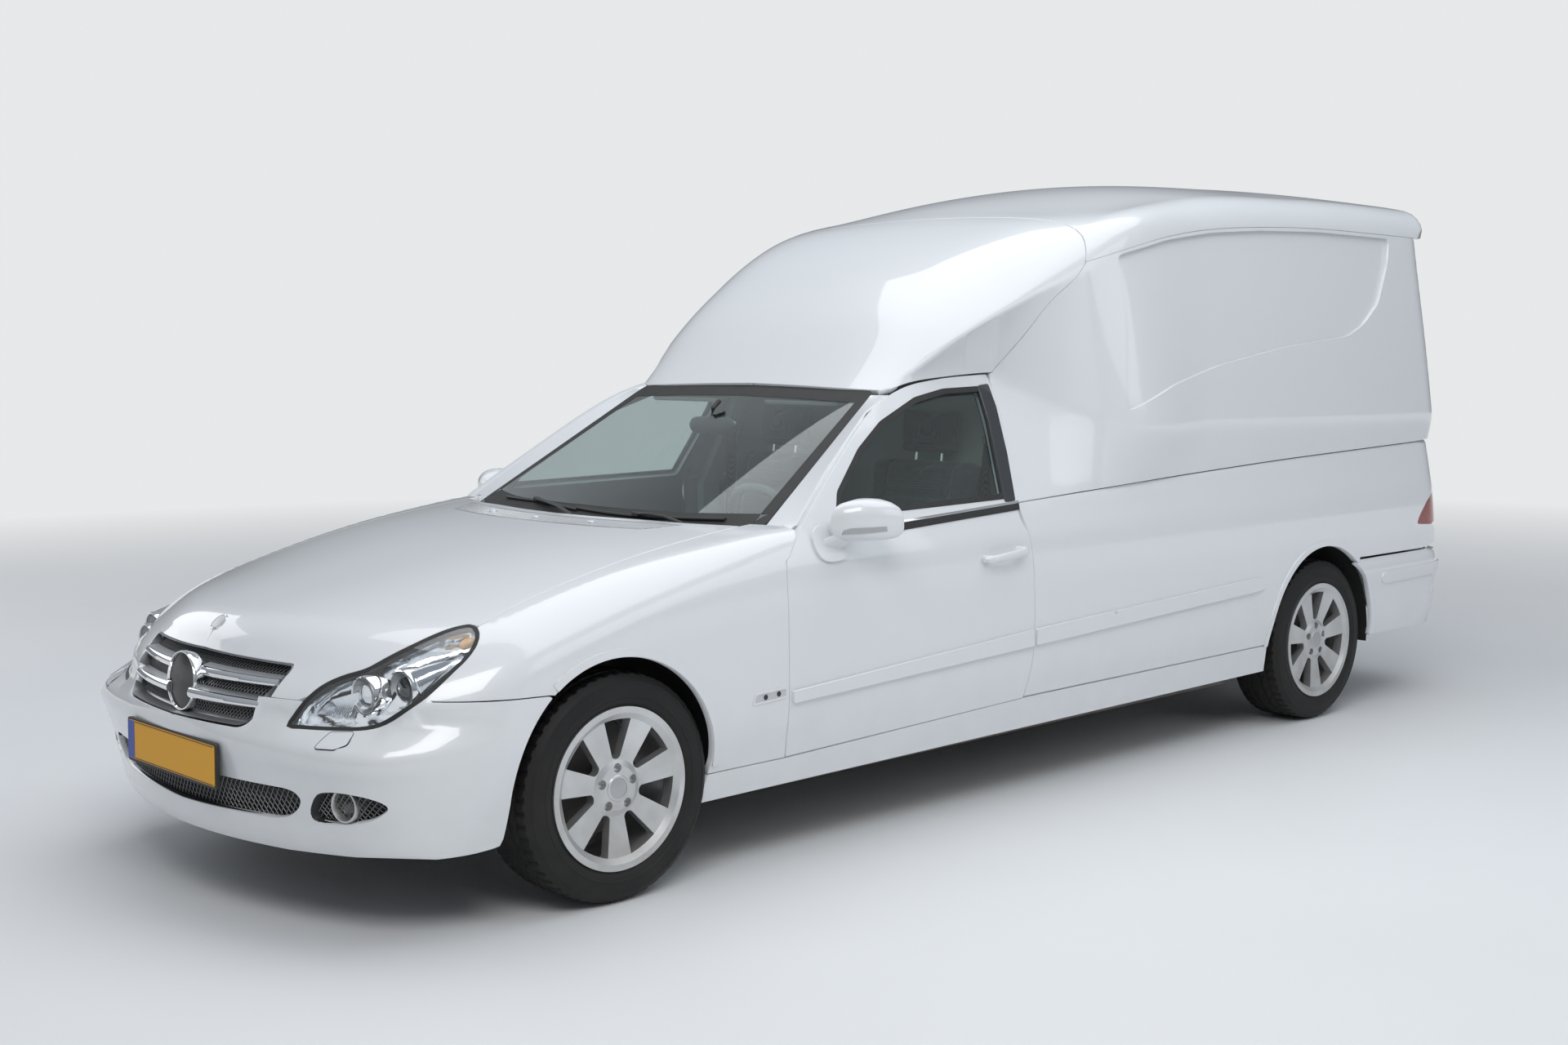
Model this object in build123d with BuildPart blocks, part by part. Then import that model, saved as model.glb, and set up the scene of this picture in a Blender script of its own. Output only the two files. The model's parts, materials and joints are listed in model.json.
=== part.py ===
"""A long white hearse: an estate-car chassis with a stretched wheelbase, a two-seat cab, a swept
fairing over the windscreen and a closed box over the coffin deck.

Sizes are in millimetres. X is the car's left, Y runs rearward, Z is up. While a piece is made, Y is
counted from the front axle; save() moves it to the frame of the part, whose origin is on the ground,
midway between the bumpers.
"""
import os
from math import cos, radians, sin

from build123d import *

os.makedirs("parts", exist_ok=True)

# Overall sizes
FRONT_OVERHANG = 870
WHEELBASE = 3550
REAR_OVERHANG = 1150
HALF_WIDTH = 908
ROOF_HEIGHT = 2148
LENGTH = FRONT_OVERHANG + WHEELBASE + REAR_OVERHANG
FRONT_AXLE_Y = FRONT_OVERHANG - LENGTH / 2

# Skins, seams between fixed pieces and gaps round moving ones
PANEL = 26
WALL = 42
SEAM = 0.3
SHUT_GAP = 6
TAIL_SKIN = 58

# Wheels and axles
TYRE_RADIUS = 320
TYRE_WIDTH = 222
RIM_RADIUS = 219
RIM_WIDTH = 214
FLANGE = 8
WHEEL_X = 780
SPOKES = 7
LUG_CIRCLE = 112
LUG_RADIUS = 13
HUB_OFFSET = 52
STUB_RADIUS = 30
DISC_RADIUS = 140
KINGPIN_X = 690
KINGPIN_RADIUS = 22
ARM_TOP = 235
KNUCKLE_TOP = 400
FRONT_ARCH = (-15, TYRE_RADIUS - 2, TYRE_RADIUS + 44)
REAR_ARCH = (WHEELBASE - 8, TYRE_RADIUS - 4, TYRE_RADIUS + 67)
ARCH_LIP = 12

# Heights and lines along the side
SILL_TOP = 326
FLOOR_LOW = 200
FLOOR_TOP = 236
BUMPER_LINE = 612
REAR_BUMPER_TOP = 622
QUARTER_TOP = 1000
DECK_Z = 700
DECK_THICK = 24
REAR_FLOOR = 560
REAR_FLOOR_THICK = 30
DOOR_FRONT = 619
DOOR_REAR = 1735
FIREWALL = (600, 640)
PARTITION = (1856, 1880)
TAIL = WHEELBASE + 1060


def at_y(y):
    """The plane across the car at y, with X and Z as its axes."""
    return Plane.XZ.offset(-y)


def save(part, name):
    """Writes one node, moved from the front axle's frame to the part's."""
    part = part.moved(Location((0, FRONT_AXLE_Y, 0)))
    part.label = name
    export_step(part, f"parts/{name}.step")


def both(part):
    """A piece on the car's left with its mirror image on the right."""
    return part + part.mirror(Plane.YZ)


def biggest(part):
    return part.solids().sort_by(SortBy.VOLUME)[-1]


def box(x0, x1, y0, y1, z0, z1):
    with BuildPart() as solid:
        with Locations(((x0 + x1) / 2, (y0 + y1) / 2, (z0 + z1) / 2)):
            Box(x1 - x0, y1 - y0, z1 - z0)
    return solid.part


def rod(start, end, radius):
    """A round bar between two points."""
    axis = Vector(*end) - Vector(*start)
    with BuildPart() as bar:
        with BuildSketch(Plane(origin=start, z_dir=axis)):
            Circle(radius)
        extrude(amount=axis.length)
    return bar.part


def prism(plane, points, amount, grow=0):
    """A straight-sided outline, drawn on a plane, grown all round and extruded."""
    with BuildPart() as solid:
        with BuildSketch(plane):
            with BuildLine():
                Polyline(*points, close=True)
            make_face()
            if grow:
                offset(amount=grow, kind=Kind.INTERSECTION)
        extrude(amount=amount)
    return solid.part


def across(points, x0, x1, grow=0):
    """A prism along X whose outline is drawn in Y and Z."""
    return prism(Plane.YZ.offset(x0), points, x1 - x0, grow)


def along(points, y0, y1, grow=0):
    """A prism along Y whose outline is drawn in X and Z."""
    return prism(at_y(y0), points, y0 - y1, grow)


def post(low, high):
    """A tapered bar between two level rectangles: z, centre x, centre y, width, depth."""
    with BuildPart() as bar:
        for z, x, y, width, depth in (low, high):
            with BuildSketch(Plane.XY.offset(z)):
                with Locations((x, y)):
                    Rectangle(width, depth)
        loft(ruled=True)
    return bar.part


def slot_prism(x, z, half_length, half_height, back, grow=0):
    """A long opening with rounded ends, cut from y=back forward through the nose."""
    with BuildPart() as solid:
        with BuildSketch(at_y(back)):
            with Locations((x, z)):
                SlotOverall(2 * (half_length + grow), 2 * (half_height + grow))
        extrude(amount=480)
    return solid.part


def wheel_arch(arch, grow=0):
    """The space over a left wheel, open downwards."""
    y, z, radius = arch
    with BuildPart() as space:
        with BuildSketch(Plane.YZ.offset(WHEEL_X - TYRE_WIDTH)):
            with Locations((y, z)):
                Circle(radius + grow)
            with Locations((y, z - 200)):
                Rectangle(2 * (radius + grow), 400)
        extrude(amount=700)
    return space.part


def with_arch_lip(panel, arch):
    """Adds the raised lip round a wheel arch to a side panel, then opens the arch."""
    lip = wheel_arch(arch, ARCH_LIP * 2) & panel.moved(Location((ARCH_LIP / 3, 0, 0)))
    return (panel + lip) - wheel_arch(arch)


# Front body across the car, by station: y, crown height, hood edge height, shoulder height
LOWER_STATIONS = [
    (-940, 640, 622, 560),
    (-740, 712, 690, 600),
    (-380, 822, 784, 690),
    (0, 912, 888, 800),
    (380, 972, 948, 850),
    (760, 1006, 978, 872),
]
HOOD_EDGE_X = 722
FRONT_LOW = 205


def front_section(y, crown, edge, shoulder, depth, low):
    side = HALF_WIDTH - depth
    with BuildSketch(at_y(y)) as section:
        with BuildLine():
            Polyline((0, low), (side - 30, low))
            ThreePointArc((side - 30, low), (side, 540), (side - 12, shoulder - depth))
            ThreePointArc(
                (side - 12, shoulder - depth),
                (side - 62, shoulder + 0.72 * (edge - shoulder) - depth),
                (HOOD_EDGE_X - depth, edge - depth),
            )
            ThreePointArc(
                (HOOD_EDGE_X - depth, edge - depth),
                (HOOD_EDGE_X / 2, crown - 0.25 * (crown - edge) - depth),
                (0, crown - depth),
            )
            mirror(about=Plane.YZ)
        make_face()
    return section.sketch


# Nose in plan, by height: z, centre y, y at the knee, y at the side
NOSE_LEVELS = [
    (150, -770, -620, -380),
    (300, -838, -700, -400),
    (450, -855, -720, -405),
    (612, -838, -698, -392),
    (760, -700, -560, -300),
    (1040, -420, -280, -80),
]
NOSE_KNEE_X = 600


def front_space(depth):
    """The space under the front skins: hood and wings cut by the nose, drawn depth inside."""
    with BuildPart() as body:
        for row in LOWER_STATIONS:
            add(front_section(*row, depth, FRONT_LOW if depth == 0 else 120))
        loft()
    with BuildPart() as nose:
        for z, centre, knee, corner in NOSE_LEVELS:
            wide = HALF_WIDTH + 20 - depth
            with BuildSketch(Plane.XY.offset(z)):
                with BuildLine():
                    ThreePointArc(
                        (0, centre + depth),
                        (NOSE_KNEE_X / 2, centre + 0.25 * (knee - centre) + depth),
                        (NOSE_KNEE_X, knee + depth),
                    )
                    ThreePointArc(
                        (NOSE_KNEE_X, knee + depth),
                        (NOSE_KNEE_X + 225, (knee + corner) / 2 - 22 + depth),
                        (wide, corner + 30 + depth),
                    )
                    Polyline((wide, corner + 30 + depth), (wide, 800 + depth), (0, 800 + depth))
                    mirror(about=Plane.YZ)
                make_face()
        loft()
    return body.part & nose.part


# Head lamp outline on the corner's diagonal plane: distance along the corner, z
LAMP_OUTLINE = [
    (-214, 548), (-165, 610), (-90, 650), (0, 690), (105, 738), (240, 790), (276, 782),
    (262, 735), (172, 634), (85, 574), (0, 550),
]
LAMP_PLANE = Plane(origin=(0, 0, 0), x_dir=(1, 1, 0), z_dir=(1, -1, 0))
LAMP_BACK = 650
LAMP_DEPTH = 60
HOOD_PLAN = [(0, -1000), (758, -1000), (758, -375), (730, -100), (716, 250), (704, 618)]
HOOD_REAR_Y = 452
GRILLE_OUTLINE = [
    (-396, 690), (396, 690), (400, 672), (345, 545), (318, 534), (-318, 534), (-345, 545), (-400, 672),
]
GRILLE_BACK = -640
GRILLE_RIM = 13
GRILLE_BARS = (582, 634)
BAR_HEIGHT = 17
BADGE = (0, 612, 76)
LOWER_GRILLE = (0, 335, 425, 42)
FOG_OPENING = (596, 318, 105, 40)
FOG_LAMP = ((598, -640, 318), (622, -690, 318), 34)
MESH = 10
PLATE_PAD = (262, 364, 480)
FRONT_PAD_Y = -FRONT_OVERHANG


def lamp_zone(grow=0):
    return prism(LAMP_PLANE.offset(LAMP_BACK), LAMP_OUTLINE, 700, grow)


def hood_zone(grow=0):
    """Everything above the hood's outline in plan."""
    with BuildPart() as zone:
        with BuildSketch(Plane.XY.offset(BUMPER_LINE + SHUT_GAP - grow)):
            with BuildLine():
                Polyline(*HOOD_PLAN)
                ThreePointArc(HOOD_PLAN[-1], (370, 496), (0, HOOD_REAR_Y))
                mirror(about=Plane.YZ)
            make_face()
            if grow:
                offset(amount=grow)
        extrude(amount=600)
    return zone.part


# Hinges: pin radius, hood axis (y, z), door axis (x, y), tailgate axis (y, z)
PIN = 4
PIN_FIT = PIN + SEAM
HOOD_AXIS = (628, 930)
DOOR_AXIS = (898, DOOR_FRONT + 22)
GATE_AXIS = (WHEELBASE + 984, 1950)


def front_pieces():
    outer = front_space(0)
    inner = front_space(PANEL)
    skin = outer - inner
    left = box(0, 1000, -1000, 1000, 0, 1200)
    grille_hole = along(GRILLE_OUTLINE, -1000, -560, SHUT_GAP)
    with BuildPart() as hood:
        add(skin & hood_zone())
        add(both(lamp_zone(SHUT_GAP)), mode=Mode.SUBTRACT)
        add(grille_hole, mode=Mode.SUBTRACT)
    y, z = HOOD_AXIS
    arm = across([(y - 60, z + 24), (y - 60, z + 10), (y - 8, z - 9), (y, z - 9), (y, z + 24)], 672, 688)
    arm = (arm + rod((672, y, z), (688, y, z), 9)) - rod((660, y, z), (700, y, z), PIN_FIT)
    save(biggest(biggest(hood.part) + both(biggest(arm & inner))), "hood")

    with BuildPart() as wing:
        add(skin & left)
        add(box(0, 1000, -1000, DOOR_FRONT - 8, BUMPER_LINE, 1200), mode=Mode.INTERSECT)
        add(hood_zone(SHUT_GAP), mode=Mode.SUBTRACT)
        add(lamp_zone(SEAM), mode=Mode.SUBTRACT)
    side = [
        (HALF_WIDTH - 28, SILL_TOP + SEAM), (HALF_WIDTH - 6, 430), (HALF_WIDTH, 540), (HALF_WIDTH - 2, BUMPER_LINE),
        (HALF_WIDTH - 2 - PANEL, BUMPER_LINE), (HALF_WIDTH - PANEL, 540), (HALF_WIDTH - 6 - PANEL, 430),
        (HALF_WIDTH - 28 - PANEL, SILL_TOP + SEAM),
    ]
    panel = biggest(wing.part) + along(side, 300, DOOR_FRONT - 8)
    save(both(biggest(with_arch_lip(panel, FRONT_ARCH))), "wings")

    fog_hole = slot_prism(*FOG_OPENING, -480)
    pad_x, pad_low, pad_high = PLATE_PAD
    with BuildPart() as bumper:
        add(skin & box(-1000, 1000, -1000, -100, 150, BUMPER_LINE - SEAM))
        add(both(lamp_zone(SEAM)), mode=Mode.SUBTRACT)
        add(along(GRILLE_OUTLINE, -1000, -560, SEAM), mode=Mode.SUBTRACT)
        add(slot_prism(*LOWER_GRILLE, -480), mode=Mode.SUBTRACT)
        add(both(fog_hole), mode=Mode.SUBTRACT)
        add(box(-pad_x, pad_x, FRONT_PAD_Y, -790, pad_low, pad_high) - inner)
        add(both(wheel_arch(FRONT_ARCH)), mode=Mode.SUBTRACT)
    save(biggest(bumper.part), "front_bumper")

    lamp = (skin_layer(0, LAMP_DEPTH, outer) & lamp_zone()) & left
    save(both(biggest(lamp)), "head_lamps")
    save(grilles(outer, inner), "grilles")
    save(both(rod(*FOG_LAMP)), "fog_lamps")


def skin_layer(near, far, outer=None):
    """The nose's shell between two depths under its surface."""
    return (outer or front_space(near)) - front_space(far)


def grilles(outer, inner):
    """The grille's frame, bars, badge disc and mesh, with the mesh panels low in the bumper."""
    frame = along(GRILLE_OUTLINE, -1000, GRILLE_BACK) - along(GRILLE_OUTLINE, -1000, GRILLE_BACK, -GRILLE_RIM)
    bars = frame
    for z in GRILLE_BARS:
        bars = bars + box(-380, 380, -1000, GRILLE_BACK, z - BAR_HEIGHT / 2, z + BAR_HEIGHT / 2)
    bars = bars & along(GRILLE_OUTLINE, -1000, GRILLE_BACK)
    mesh = along(GRILLE_OUTLINE, GRILLE_BACK - MESH, GRILLE_BACK)
    badge_x, badge_z, badge_r = BADGE
    badge = rod((badge_x, -838, badge_z), (badge_x, GRILLE_BACK, badge_z), badge_r)
    upper = (bars & outer) + mesh + (badge & outer)
    layer = inner - front_space(PANEL + MESH)
    fog = slot_prism(*FOG_OPENING, -480, 8) - rod((588.4, -620, 318), (636.4, -720, 318), FOG_LAMP[2] + SEAM)
    lower = slot_prism(*LOWER_GRILLE, -480, 8)
    return biggest(upper) + biggest(layer & lower) + both(biggest(layer & fog))


def wheel_rim():
    """A rim on the X axis, its outer face towards +X, with spokes between tapered windows."""
    half = RIM_WIDTH / 2
    rim_edge = RIM_RADIUS + FLANGE
    profile = [
        (-half, RIM_RADIUS - 22), (-half, rim_edge), (-half + FLANGE, rim_edge), (-half + FLANGE, RIM_RADIUS),
        (half - FLANGE, RIM_RADIUS), (half - FLANGE, rim_edge), (half, rim_edge), (half, RIM_RADIUS - 10),
        (half - 12, RIM_RADIUS - 26), (half - 22, 78), (half - 15, 62), (half - 15, 0), (half - HUB_OFFSET, 0),
        (half - HUB_OFFSET, 78), (half - 44, RIM_RADIUS - 30), (half - 60, RIM_RADIUS - 18),
        (-half + 20, RIM_RADIUS - 18), (-half + 16, RIM_RADIUS - 22),
    ]
    with BuildSketch() as window:
        with BuildLine():
            Line((87, -14), (188, -46))
            ThreePointArc((188, -46), (192, 0), (188, 46))
            Line((188, 46), (87, 14))
            ThreePointArc((87, 14), (80, 0), (87, -14))
        make_face()
    with BuildPart() as rim:
        with BuildSketch(Plane.XY):
            with BuildLine():
                Polyline(*profile, close=True)
            make_face()
        revolve(axis=Axis.X)
        with BuildSketch(Plane.YZ.offset(half - 70)):
            with PolarLocations(0, SPOKES, start_angle=90):
                add(window.sketch)
        extrude(amount=100, mode=Mode.SUBTRACT)
        with BuildSketch(Plane.YZ.offset(half - 34)):
            with PolarLocations(LUG_CIRCLE / 2, 5, start_angle=90):
                Circle(LUG_RADIUS)
        extrude(amount=100, mode=Mode.SUBTRACT)
    return rim.part


def wheel_tyre():
    half = TYRE_WIDTH / 2
    bore = RIM_RADIUS + SEAM
    seat = RIM_WIDTH / 2 - FLANGE - SEAM
    bead = RIM_RADIUS + FLANGE + 1
    shoulder = [(seat, bead), (half, 268), (half - 15, TYRE_RADIUS - 11)]
    edge = [(half - 15, TYRE_RADIUS - 11), (half - 22, TYRE_RADIUS - 4), (half - 34, TYRE_RADIUS)]
    with BuildPart() as tyre:
        with BuildSketch(Plane.XY):
            with BuildLine():
                Polyline((0, bore), (seat, bore), shoulder[0])
                ThreePointArc(*shoulder)
                ThreePointArc(*edge)
                Line(edge[-1], (0, TYRE_RADIUS))
                mirror(about=Plane.YZ)
            make_face()
        revolve(axis=Axis.X)
    return tyre.part


def wheels():
    rim = wheel_rim()
    tyre = wheel_tyre()
    for place, side, y in (
        ("front_left", 1, 0), ("front_right", -1, 0), ("rear_left", 1, WHEELBASE), ("rear_right", -1, WHEELBASE),
    ):
        for piece, name in ((rim, "rim"), (tyre, "tyre")):
            placed = piece.moved(Location((WHEEL_X, y, TYRE_RADIUS)))
            save(placed if side == 1 else placed.mirror(Plane.YZ), f"{name}_{place}")


# Frame rails and cross members under the hood
RAIL = (360, 400)
RAIL_Z = (330, 400)
MEMBER_TOP = 262
ENGINE = (250, 330, 730)


def running_gear():
    hub = WHEEL_X + RIM_WIDTH / 2 - HUB_OFFSET - SEAM
    centre = TYRE_RADIUS
    disc_in, disc_out = WHEEL_X - 22, WHEEL_X - 2
    knuckle = rod((KINGPIN_X, 0, ARM_TOP + SEAM), (KINGPIN_X, 0, KNUCKLE_TOP - SEAM), KINGPIN_RADIUS)
    knuckle = knuckle + rod((KINGPIN_X - 30, 0, centre), (hub, 0, centre), STUB_RADIUS)
    knuckle = knuckle + rod((disc_in, 0, centre), (disc_out, 0, centre), DISC_RADIUS)
    knuckle = knuckle + box(KINGPIN_X - 8, KINGPIN_X + 8, 10, 110, centre - 40, centre - 20)
    save(knuckle, "knuckle_left")
    save(knuckle.mirror(Plane.YZ), "knuckle_right")

    arm = box(300, KINGPIN_X, -38, 38, ARM_TOP - 45, ARM_TOP - 10)
    arm = arm + rod((KINGPIN_X, 0, ARM_TOP - 45), (KINGPIN_X, 0, ARM_TOP), KINGPIN_RADIUS + 8)
    spring_x = KINGPIN_X - 90
    strut = rod((KINGPIN_X, 0, KNUCKLE_TOP), (KINGPIN_X, 0, KNUCKLE_TOP + 30), KINGPIN_RADIUS + 4)
    strut = strut + box(spring_x, KINGPIN_X, -22, 22, KNUCKLE_TOP + 4, KNUCKLE_TOP + 28)
    strut = strut + rod((spring_x, 0, KNUCKLE_TOP + 4), (spring_x, 0, 790), 44)
    tower = box(RAIL[1], spring_x + 60, -80, 80, 780, 806) + box(RAIL[0], RAIL[1], -60, 60, RAIL_Z[1], 806)
    rails = box(*RAIL, GRILLE_BACK, FIREWALL[0], *RAIL_Z) + box(*RAIL, -60, 60, 240, RAIL_Z[0])
    panel = box(-532, 532, GRILLE_BACK, GRILLE_BACK + 30, RAIL_Z[0], 660) - box(-340, 340, -700, -600, 410, 640)
    axle = box(-400, 400, -70, 70, ARM_TOP - 45, MEMBER_TOP) + panel
    save(axle + both(arm + strut + tower + rails), "front_axle")

    rear = rod((-hub, WHEELBASE, centre), (hub, WHEELBASE, centre), STUB_RADIUS)
    rear = rear + rod((-disc_in + 40, WHEELBASE, centre), (disc_in - 40, WHEELBASE, centre), 46)
    rear = rear + both(rod((disc_in, WHEELBASE, centre), (disc_out, WHEELBASE, centre), DISC_RADIUS))
    rear = rear + rod((0, WHEELBASE - 130, centre), (0, WHEELBASE + 110, centre), 105)
    link = box(470, 540, WHEELBASE - 460, WHEELBASE + 60, centre - 35, centre + 25)
    link = link + box(470, 540, WHEELBASE - 460, WHEELBASE - 420, centre - 35, REAR_FLOOR)
    save(rear + both(link + rod((505, WHEELBASE + 30, centre), (505, WHEELBASE + 30, REAR_FLOOR), 42)), "rear_axle")

    half_width, half_length, top = ENGINE
    save(box(-half_width, half_width, -half_length, half_length, MEMBER_TOP, top), "engine_block")


# Upper body across the car, by station: y, then x and z of the waist, of the door top or box side, of
# the crease and of the shoulder, and the crown's z
UPPER_STATIONS = [
    (1250, 862, 985, 640, 1316, 604, 1320, 430, 1334, ROOF_HEIGHT - 808),
    (1296, 862, 985, 640, 1352, 622, 1358, 430, 1374, ROOF_HEIGHT - 768),
    (1540, 862, 985, 640, 1404, 716, 1520, 600, 1588, ROOF_HEIGHT - 526),
    (1800, 862, 985, 645, 1412, 790, 1655, 690, 1752, ROOF_HEIGHT - 342),
    (2040, 864, 992, 790, 1330, 838, 1764, 745, 1868, ROOF_HEIGHT - 210),
    (2250, 868, 1000, 893, 1260, 862, 1826, 780, 1946, ROOF_HEIGHT - 140),
    (2760, 868, 1030, 899, 1310, 858, 1915, 790, 2030, ROOF_HEIGHT - 38),
    (WHEELBASE - 50, 868, 1050, 899, 1340, 856, 1946, 795, 2056, ROOF_HEIGHT - 4),
    (WHEELBASE + 1210, 868, 1080, 897, 1350, 850, 1925, 785, 2040, ROOF_HEIGHT - 22),
]
UPPER_LOW = 900
SPAN_STEPS = 3


def rows_between(rows, steps):
    """Adds steps - 1 rows in each span, on smooth curves through each column."""
    slopes = []
    for i in range(len(rows)):
        a = rows[max(i - 1, 0)]
        b = rows[min(i + 1, len(rows) - 1)]
        slopes.append([(q - p) / (b[0] - a[0]) for p, q in zip(a, b)])
    result = []
    for i in range(len(rows) - 1):
        for step in range(steps):
            t = step / steps
            span = rows[i + 1][0] - rows[i][0]
            keep, move = (1 + 2 * t) * (1 - t) ** 2, t * t * (3 - 2 * t)
            lead, trail = t * (1 - t) ** 2 * span, -t * t * (1 - t) * span
            result.append([
                keep * p + move * q + lead * m + trail * n
                for p, q, m, n in zip(rows[i], rows[i + 1], slopes[i], slopes[i + 1])
            ])
    return [*result, rows[-1]]


def upper_section(row, depth):
    y, waist_x, waist_z, side_x, side_z, crease_x, crease_z, shoulder_x, shoulder_z, crown = row
    with BuildSketch(at_y(y)) as section:
        with BuildLine():
            Polyline((0, UPPER_LOW), (waist_x - depth, UPPER_LOW), (waist_x - depth, waist_z))
            Line((waist_x - depth, waist_z), (side_x - depth, side_z))
            Line((side_x - depth, side_z), (crease_x - depth, crease_z - depth / 2))
            ThreePointArc(
                (crease_x - depth, crease_z - depth / 2),
                ((crease_x + shoulder_x) / 2 + 16 - depth, (crease_z + shoulder_z) / 2 + 12 - depth),
                (shoulder_x - depth, shoulder_z - depth),
            )
            ThreePointArc(
                (shoulder_x - depth, shoulder_z - depth),
                ((shoulder_x - depth) / 2, crown - 0.24 * (crown - shoulder_z) - depth),
                (0, crown - depth),
            )
            mirror(about=Plane.YZ)
        make_face()
    return section.sketch


def upper_space(depth):
    """The space under fairing, box sides and roof, drawn depth inside their skin."""
    with BuildPart() as body:
        for row in rows_between(UPPER_STATIONS, SPAN_STEPS):
            add(upper_section(row, depth))
        loft(ruled=True)
    return body.part


# Tail in plan, by height: z, centre y, y at the knee, y where the corner starts
TAIL_LEVELS = [
    (150, TAIL + 10, TAIL - 54, TAIL - 316),
    (900, TAIL - 14, TAIL - 85, TAIL - 340),
    (1460, TAIL - 54, TAIL - 150, TAIL - 340),
    (1850, TAIL - 94, TAIL - 220, TAIL - 380),
    (2200, TAIL - 134, TAIL - 280, TAIL - 430),
]
BUMPER_LEVELS = [
    (228, WHEELBASE + 1070, WHEELBASE + 920, WHEELBASE + 730, HALF_WIDTH - 28),
    (330, WHEELBASE + REAR_OVERHANG - 10, WHEELBASE + 1010, WHEELBASE + 750, HALF_WIDTH - 8),
    (470, WHEELBASE + REAR_OVERHANG, WHEELBASE + 1025, WHEELBASE + 760, HALF_WIDTH),
    (606, WHEELBASE + REAR_OVERHANG - 4, WHEELBASE + 1019, WHEELBASE + 750, HALF_WIDTH),
    (REAR_BUMPER_TOP, WHEELBASE + REAR_OVERHANG - 20, WHEELBASE + 1005, WHEELBASE + 740, HALF_WIDTH - 8),
]
TAIL_KNEE_X = 800


def tail_outline(centre, knee, corner, wide, front, depth):
    """One level of the tail in plan, drawn depth inside."""
    x = TAIL_KNEE_X - depth
    with BuildLine() as line:
        ThreePointArc((0, centre - depth), (x / 2, centre - 0.22 * (centre - knee) - depth), (x, knee - depth))
        ThreePointArc((x, knee - depth), (wide - 27, knee - 110 - depth), (wide, corner - depth))
        Polyline((wide, corner - depth), (wide, front), (0, front))
        mirror(about=Plane.YZ)
    return make_face(line.edges())


def tail_space(depth):
    with BuildPart() as tail:
        for z, centre, knee, corner in TAIL_LEVELS:
            with BuildSketch(Plane.XY.offset(z)):
                add(tail_outline(centre, knee, corner, HALF_WIDTH + 8 - depth, 1000, depth))
        loft()
    return tail.part


def bumper_space(depth):
    with BuildPart() as block:
        for z, centre, knee, corner, wide in BUMPER_LEVELS:
            with BuildSketch(Plane.XY.offset(z)):
                add(tail_outline(centre, knee, corner, wide - depth, 3700, depth))
        loft(ruled=True)
    return block.part


# Outlines on the side, drawn in Y and Z
ROOF_EDGE = [
    (2081, 1787), (2280, 1835), (2516, 1884), (2795, 1919), (3134, 1938), (WHEELBASE - 6, 1945),
    (WHEELBASE + 606, 1934), (WHEELBASE + 1250, 1925),
]
FAIRING_FOOT = [(1296, 1356), (1400, 1391), (1551, 1406), (1806, 1418)]
FAIRING_SEAM = [(2081, 1787), (2136, 1916), (2110, 2400)]
DOOR_EDGE = [
    (DOOR_FRONT, 338), (DOOR_FRONT, 868), (707, 986), (919, 1137), (1167, 1298), (1348, 1370), (1551, 1399),
    (1797, 1410), (1786, 1272), (1695, 988), (1722, 880), (DOOR_REAR, 760), (DOOR_REAR, 500), (1708, 338),
]
DOOR_WINDOW = [
    (868, 1006), (930, 1096), (1060, 1190), (1200, 1268), (1400, 1338), (1551, 1362), (1738, 1366), (1722, 1262),
    (1648, 1014),
]
RECESS = [
    (2232, 1815), (2290, 1828), (2516, 1876), (2795, 1910), (3134, 1929), (WHEELBASE - 6, 1936),
    (WHEELBASE + 528, 1926), (WHEELBASE + 508, 1818), (WHEELBASE + 426, 1657), (WHEELBASE + 306, 1572),
    (WHEELBASE + 186, 1527), (3265, 1487), (2833, 1426), (2531, 1362), (2256, 1272), (2262, 1630),
]
RECESS_DEPTH = 11
LAMP_SIDE = [
    (TAIL - 331, 732), (TAIL + 90, 712), (TAIL + 90, 905), (TAIL - 110, 893), (TAIL - 230, 838), (TAIL - 310, 770),
]
GATE_HALF = 712
GATE_Z = (REAR_BUMPER_TOP + 12, 1938)
SPOILER_LOW = 1958
SPOILER_REACH = 90
WINDOW_Z = 1500
WINDOW_SIZE = (1130, 560, 60)
SIDE_PROFILE = [
    (HALF_WIDTH - 28, SILL_TOP + SEAM), (HALF_WIDTH - 6, 430), (HALF_WIDTH, 560), (HALF_WIDTH - 2, 760),
    (HALF_WIDTH - 12, 880), (HALF_WIDTH - 42, 985),
]
MOULDING = 9


def gate_zone(grow=0):
    low, high = GATE_Z
    return box(-GATE_HALF - grow, GATE_HALF + grow, 4000, 5000, low - grow, high + grow)


def gate_window(grow=0):
    width, height, corner = WINDOW_SIZE
    with BuildPart() as hole:
        with BuildSketch(at_y(TAIL - 300)):
            with Locations((0, WINDOW_Z)):
                RectangleRounded(width + 2 * grow, height + 2 * grow, corner)
        extrude(amount=-500)
    return hole.part


def lower_space(y0, y1):
    """The whole width under the waist between two stations."""
    return along([*SIDE_PROFILE, (HALF_WIDTH - 42, QUARTER_TOP), (0, QUARTER_TOP), (0, SILL_TOP)], y0, y1)


def moulding(outline):
    """A rubbing strip that stands proud of the side."""
    return across(outline, HALF_WIDTH - 12, HALF_WIDTH + MOULDING)


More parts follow.
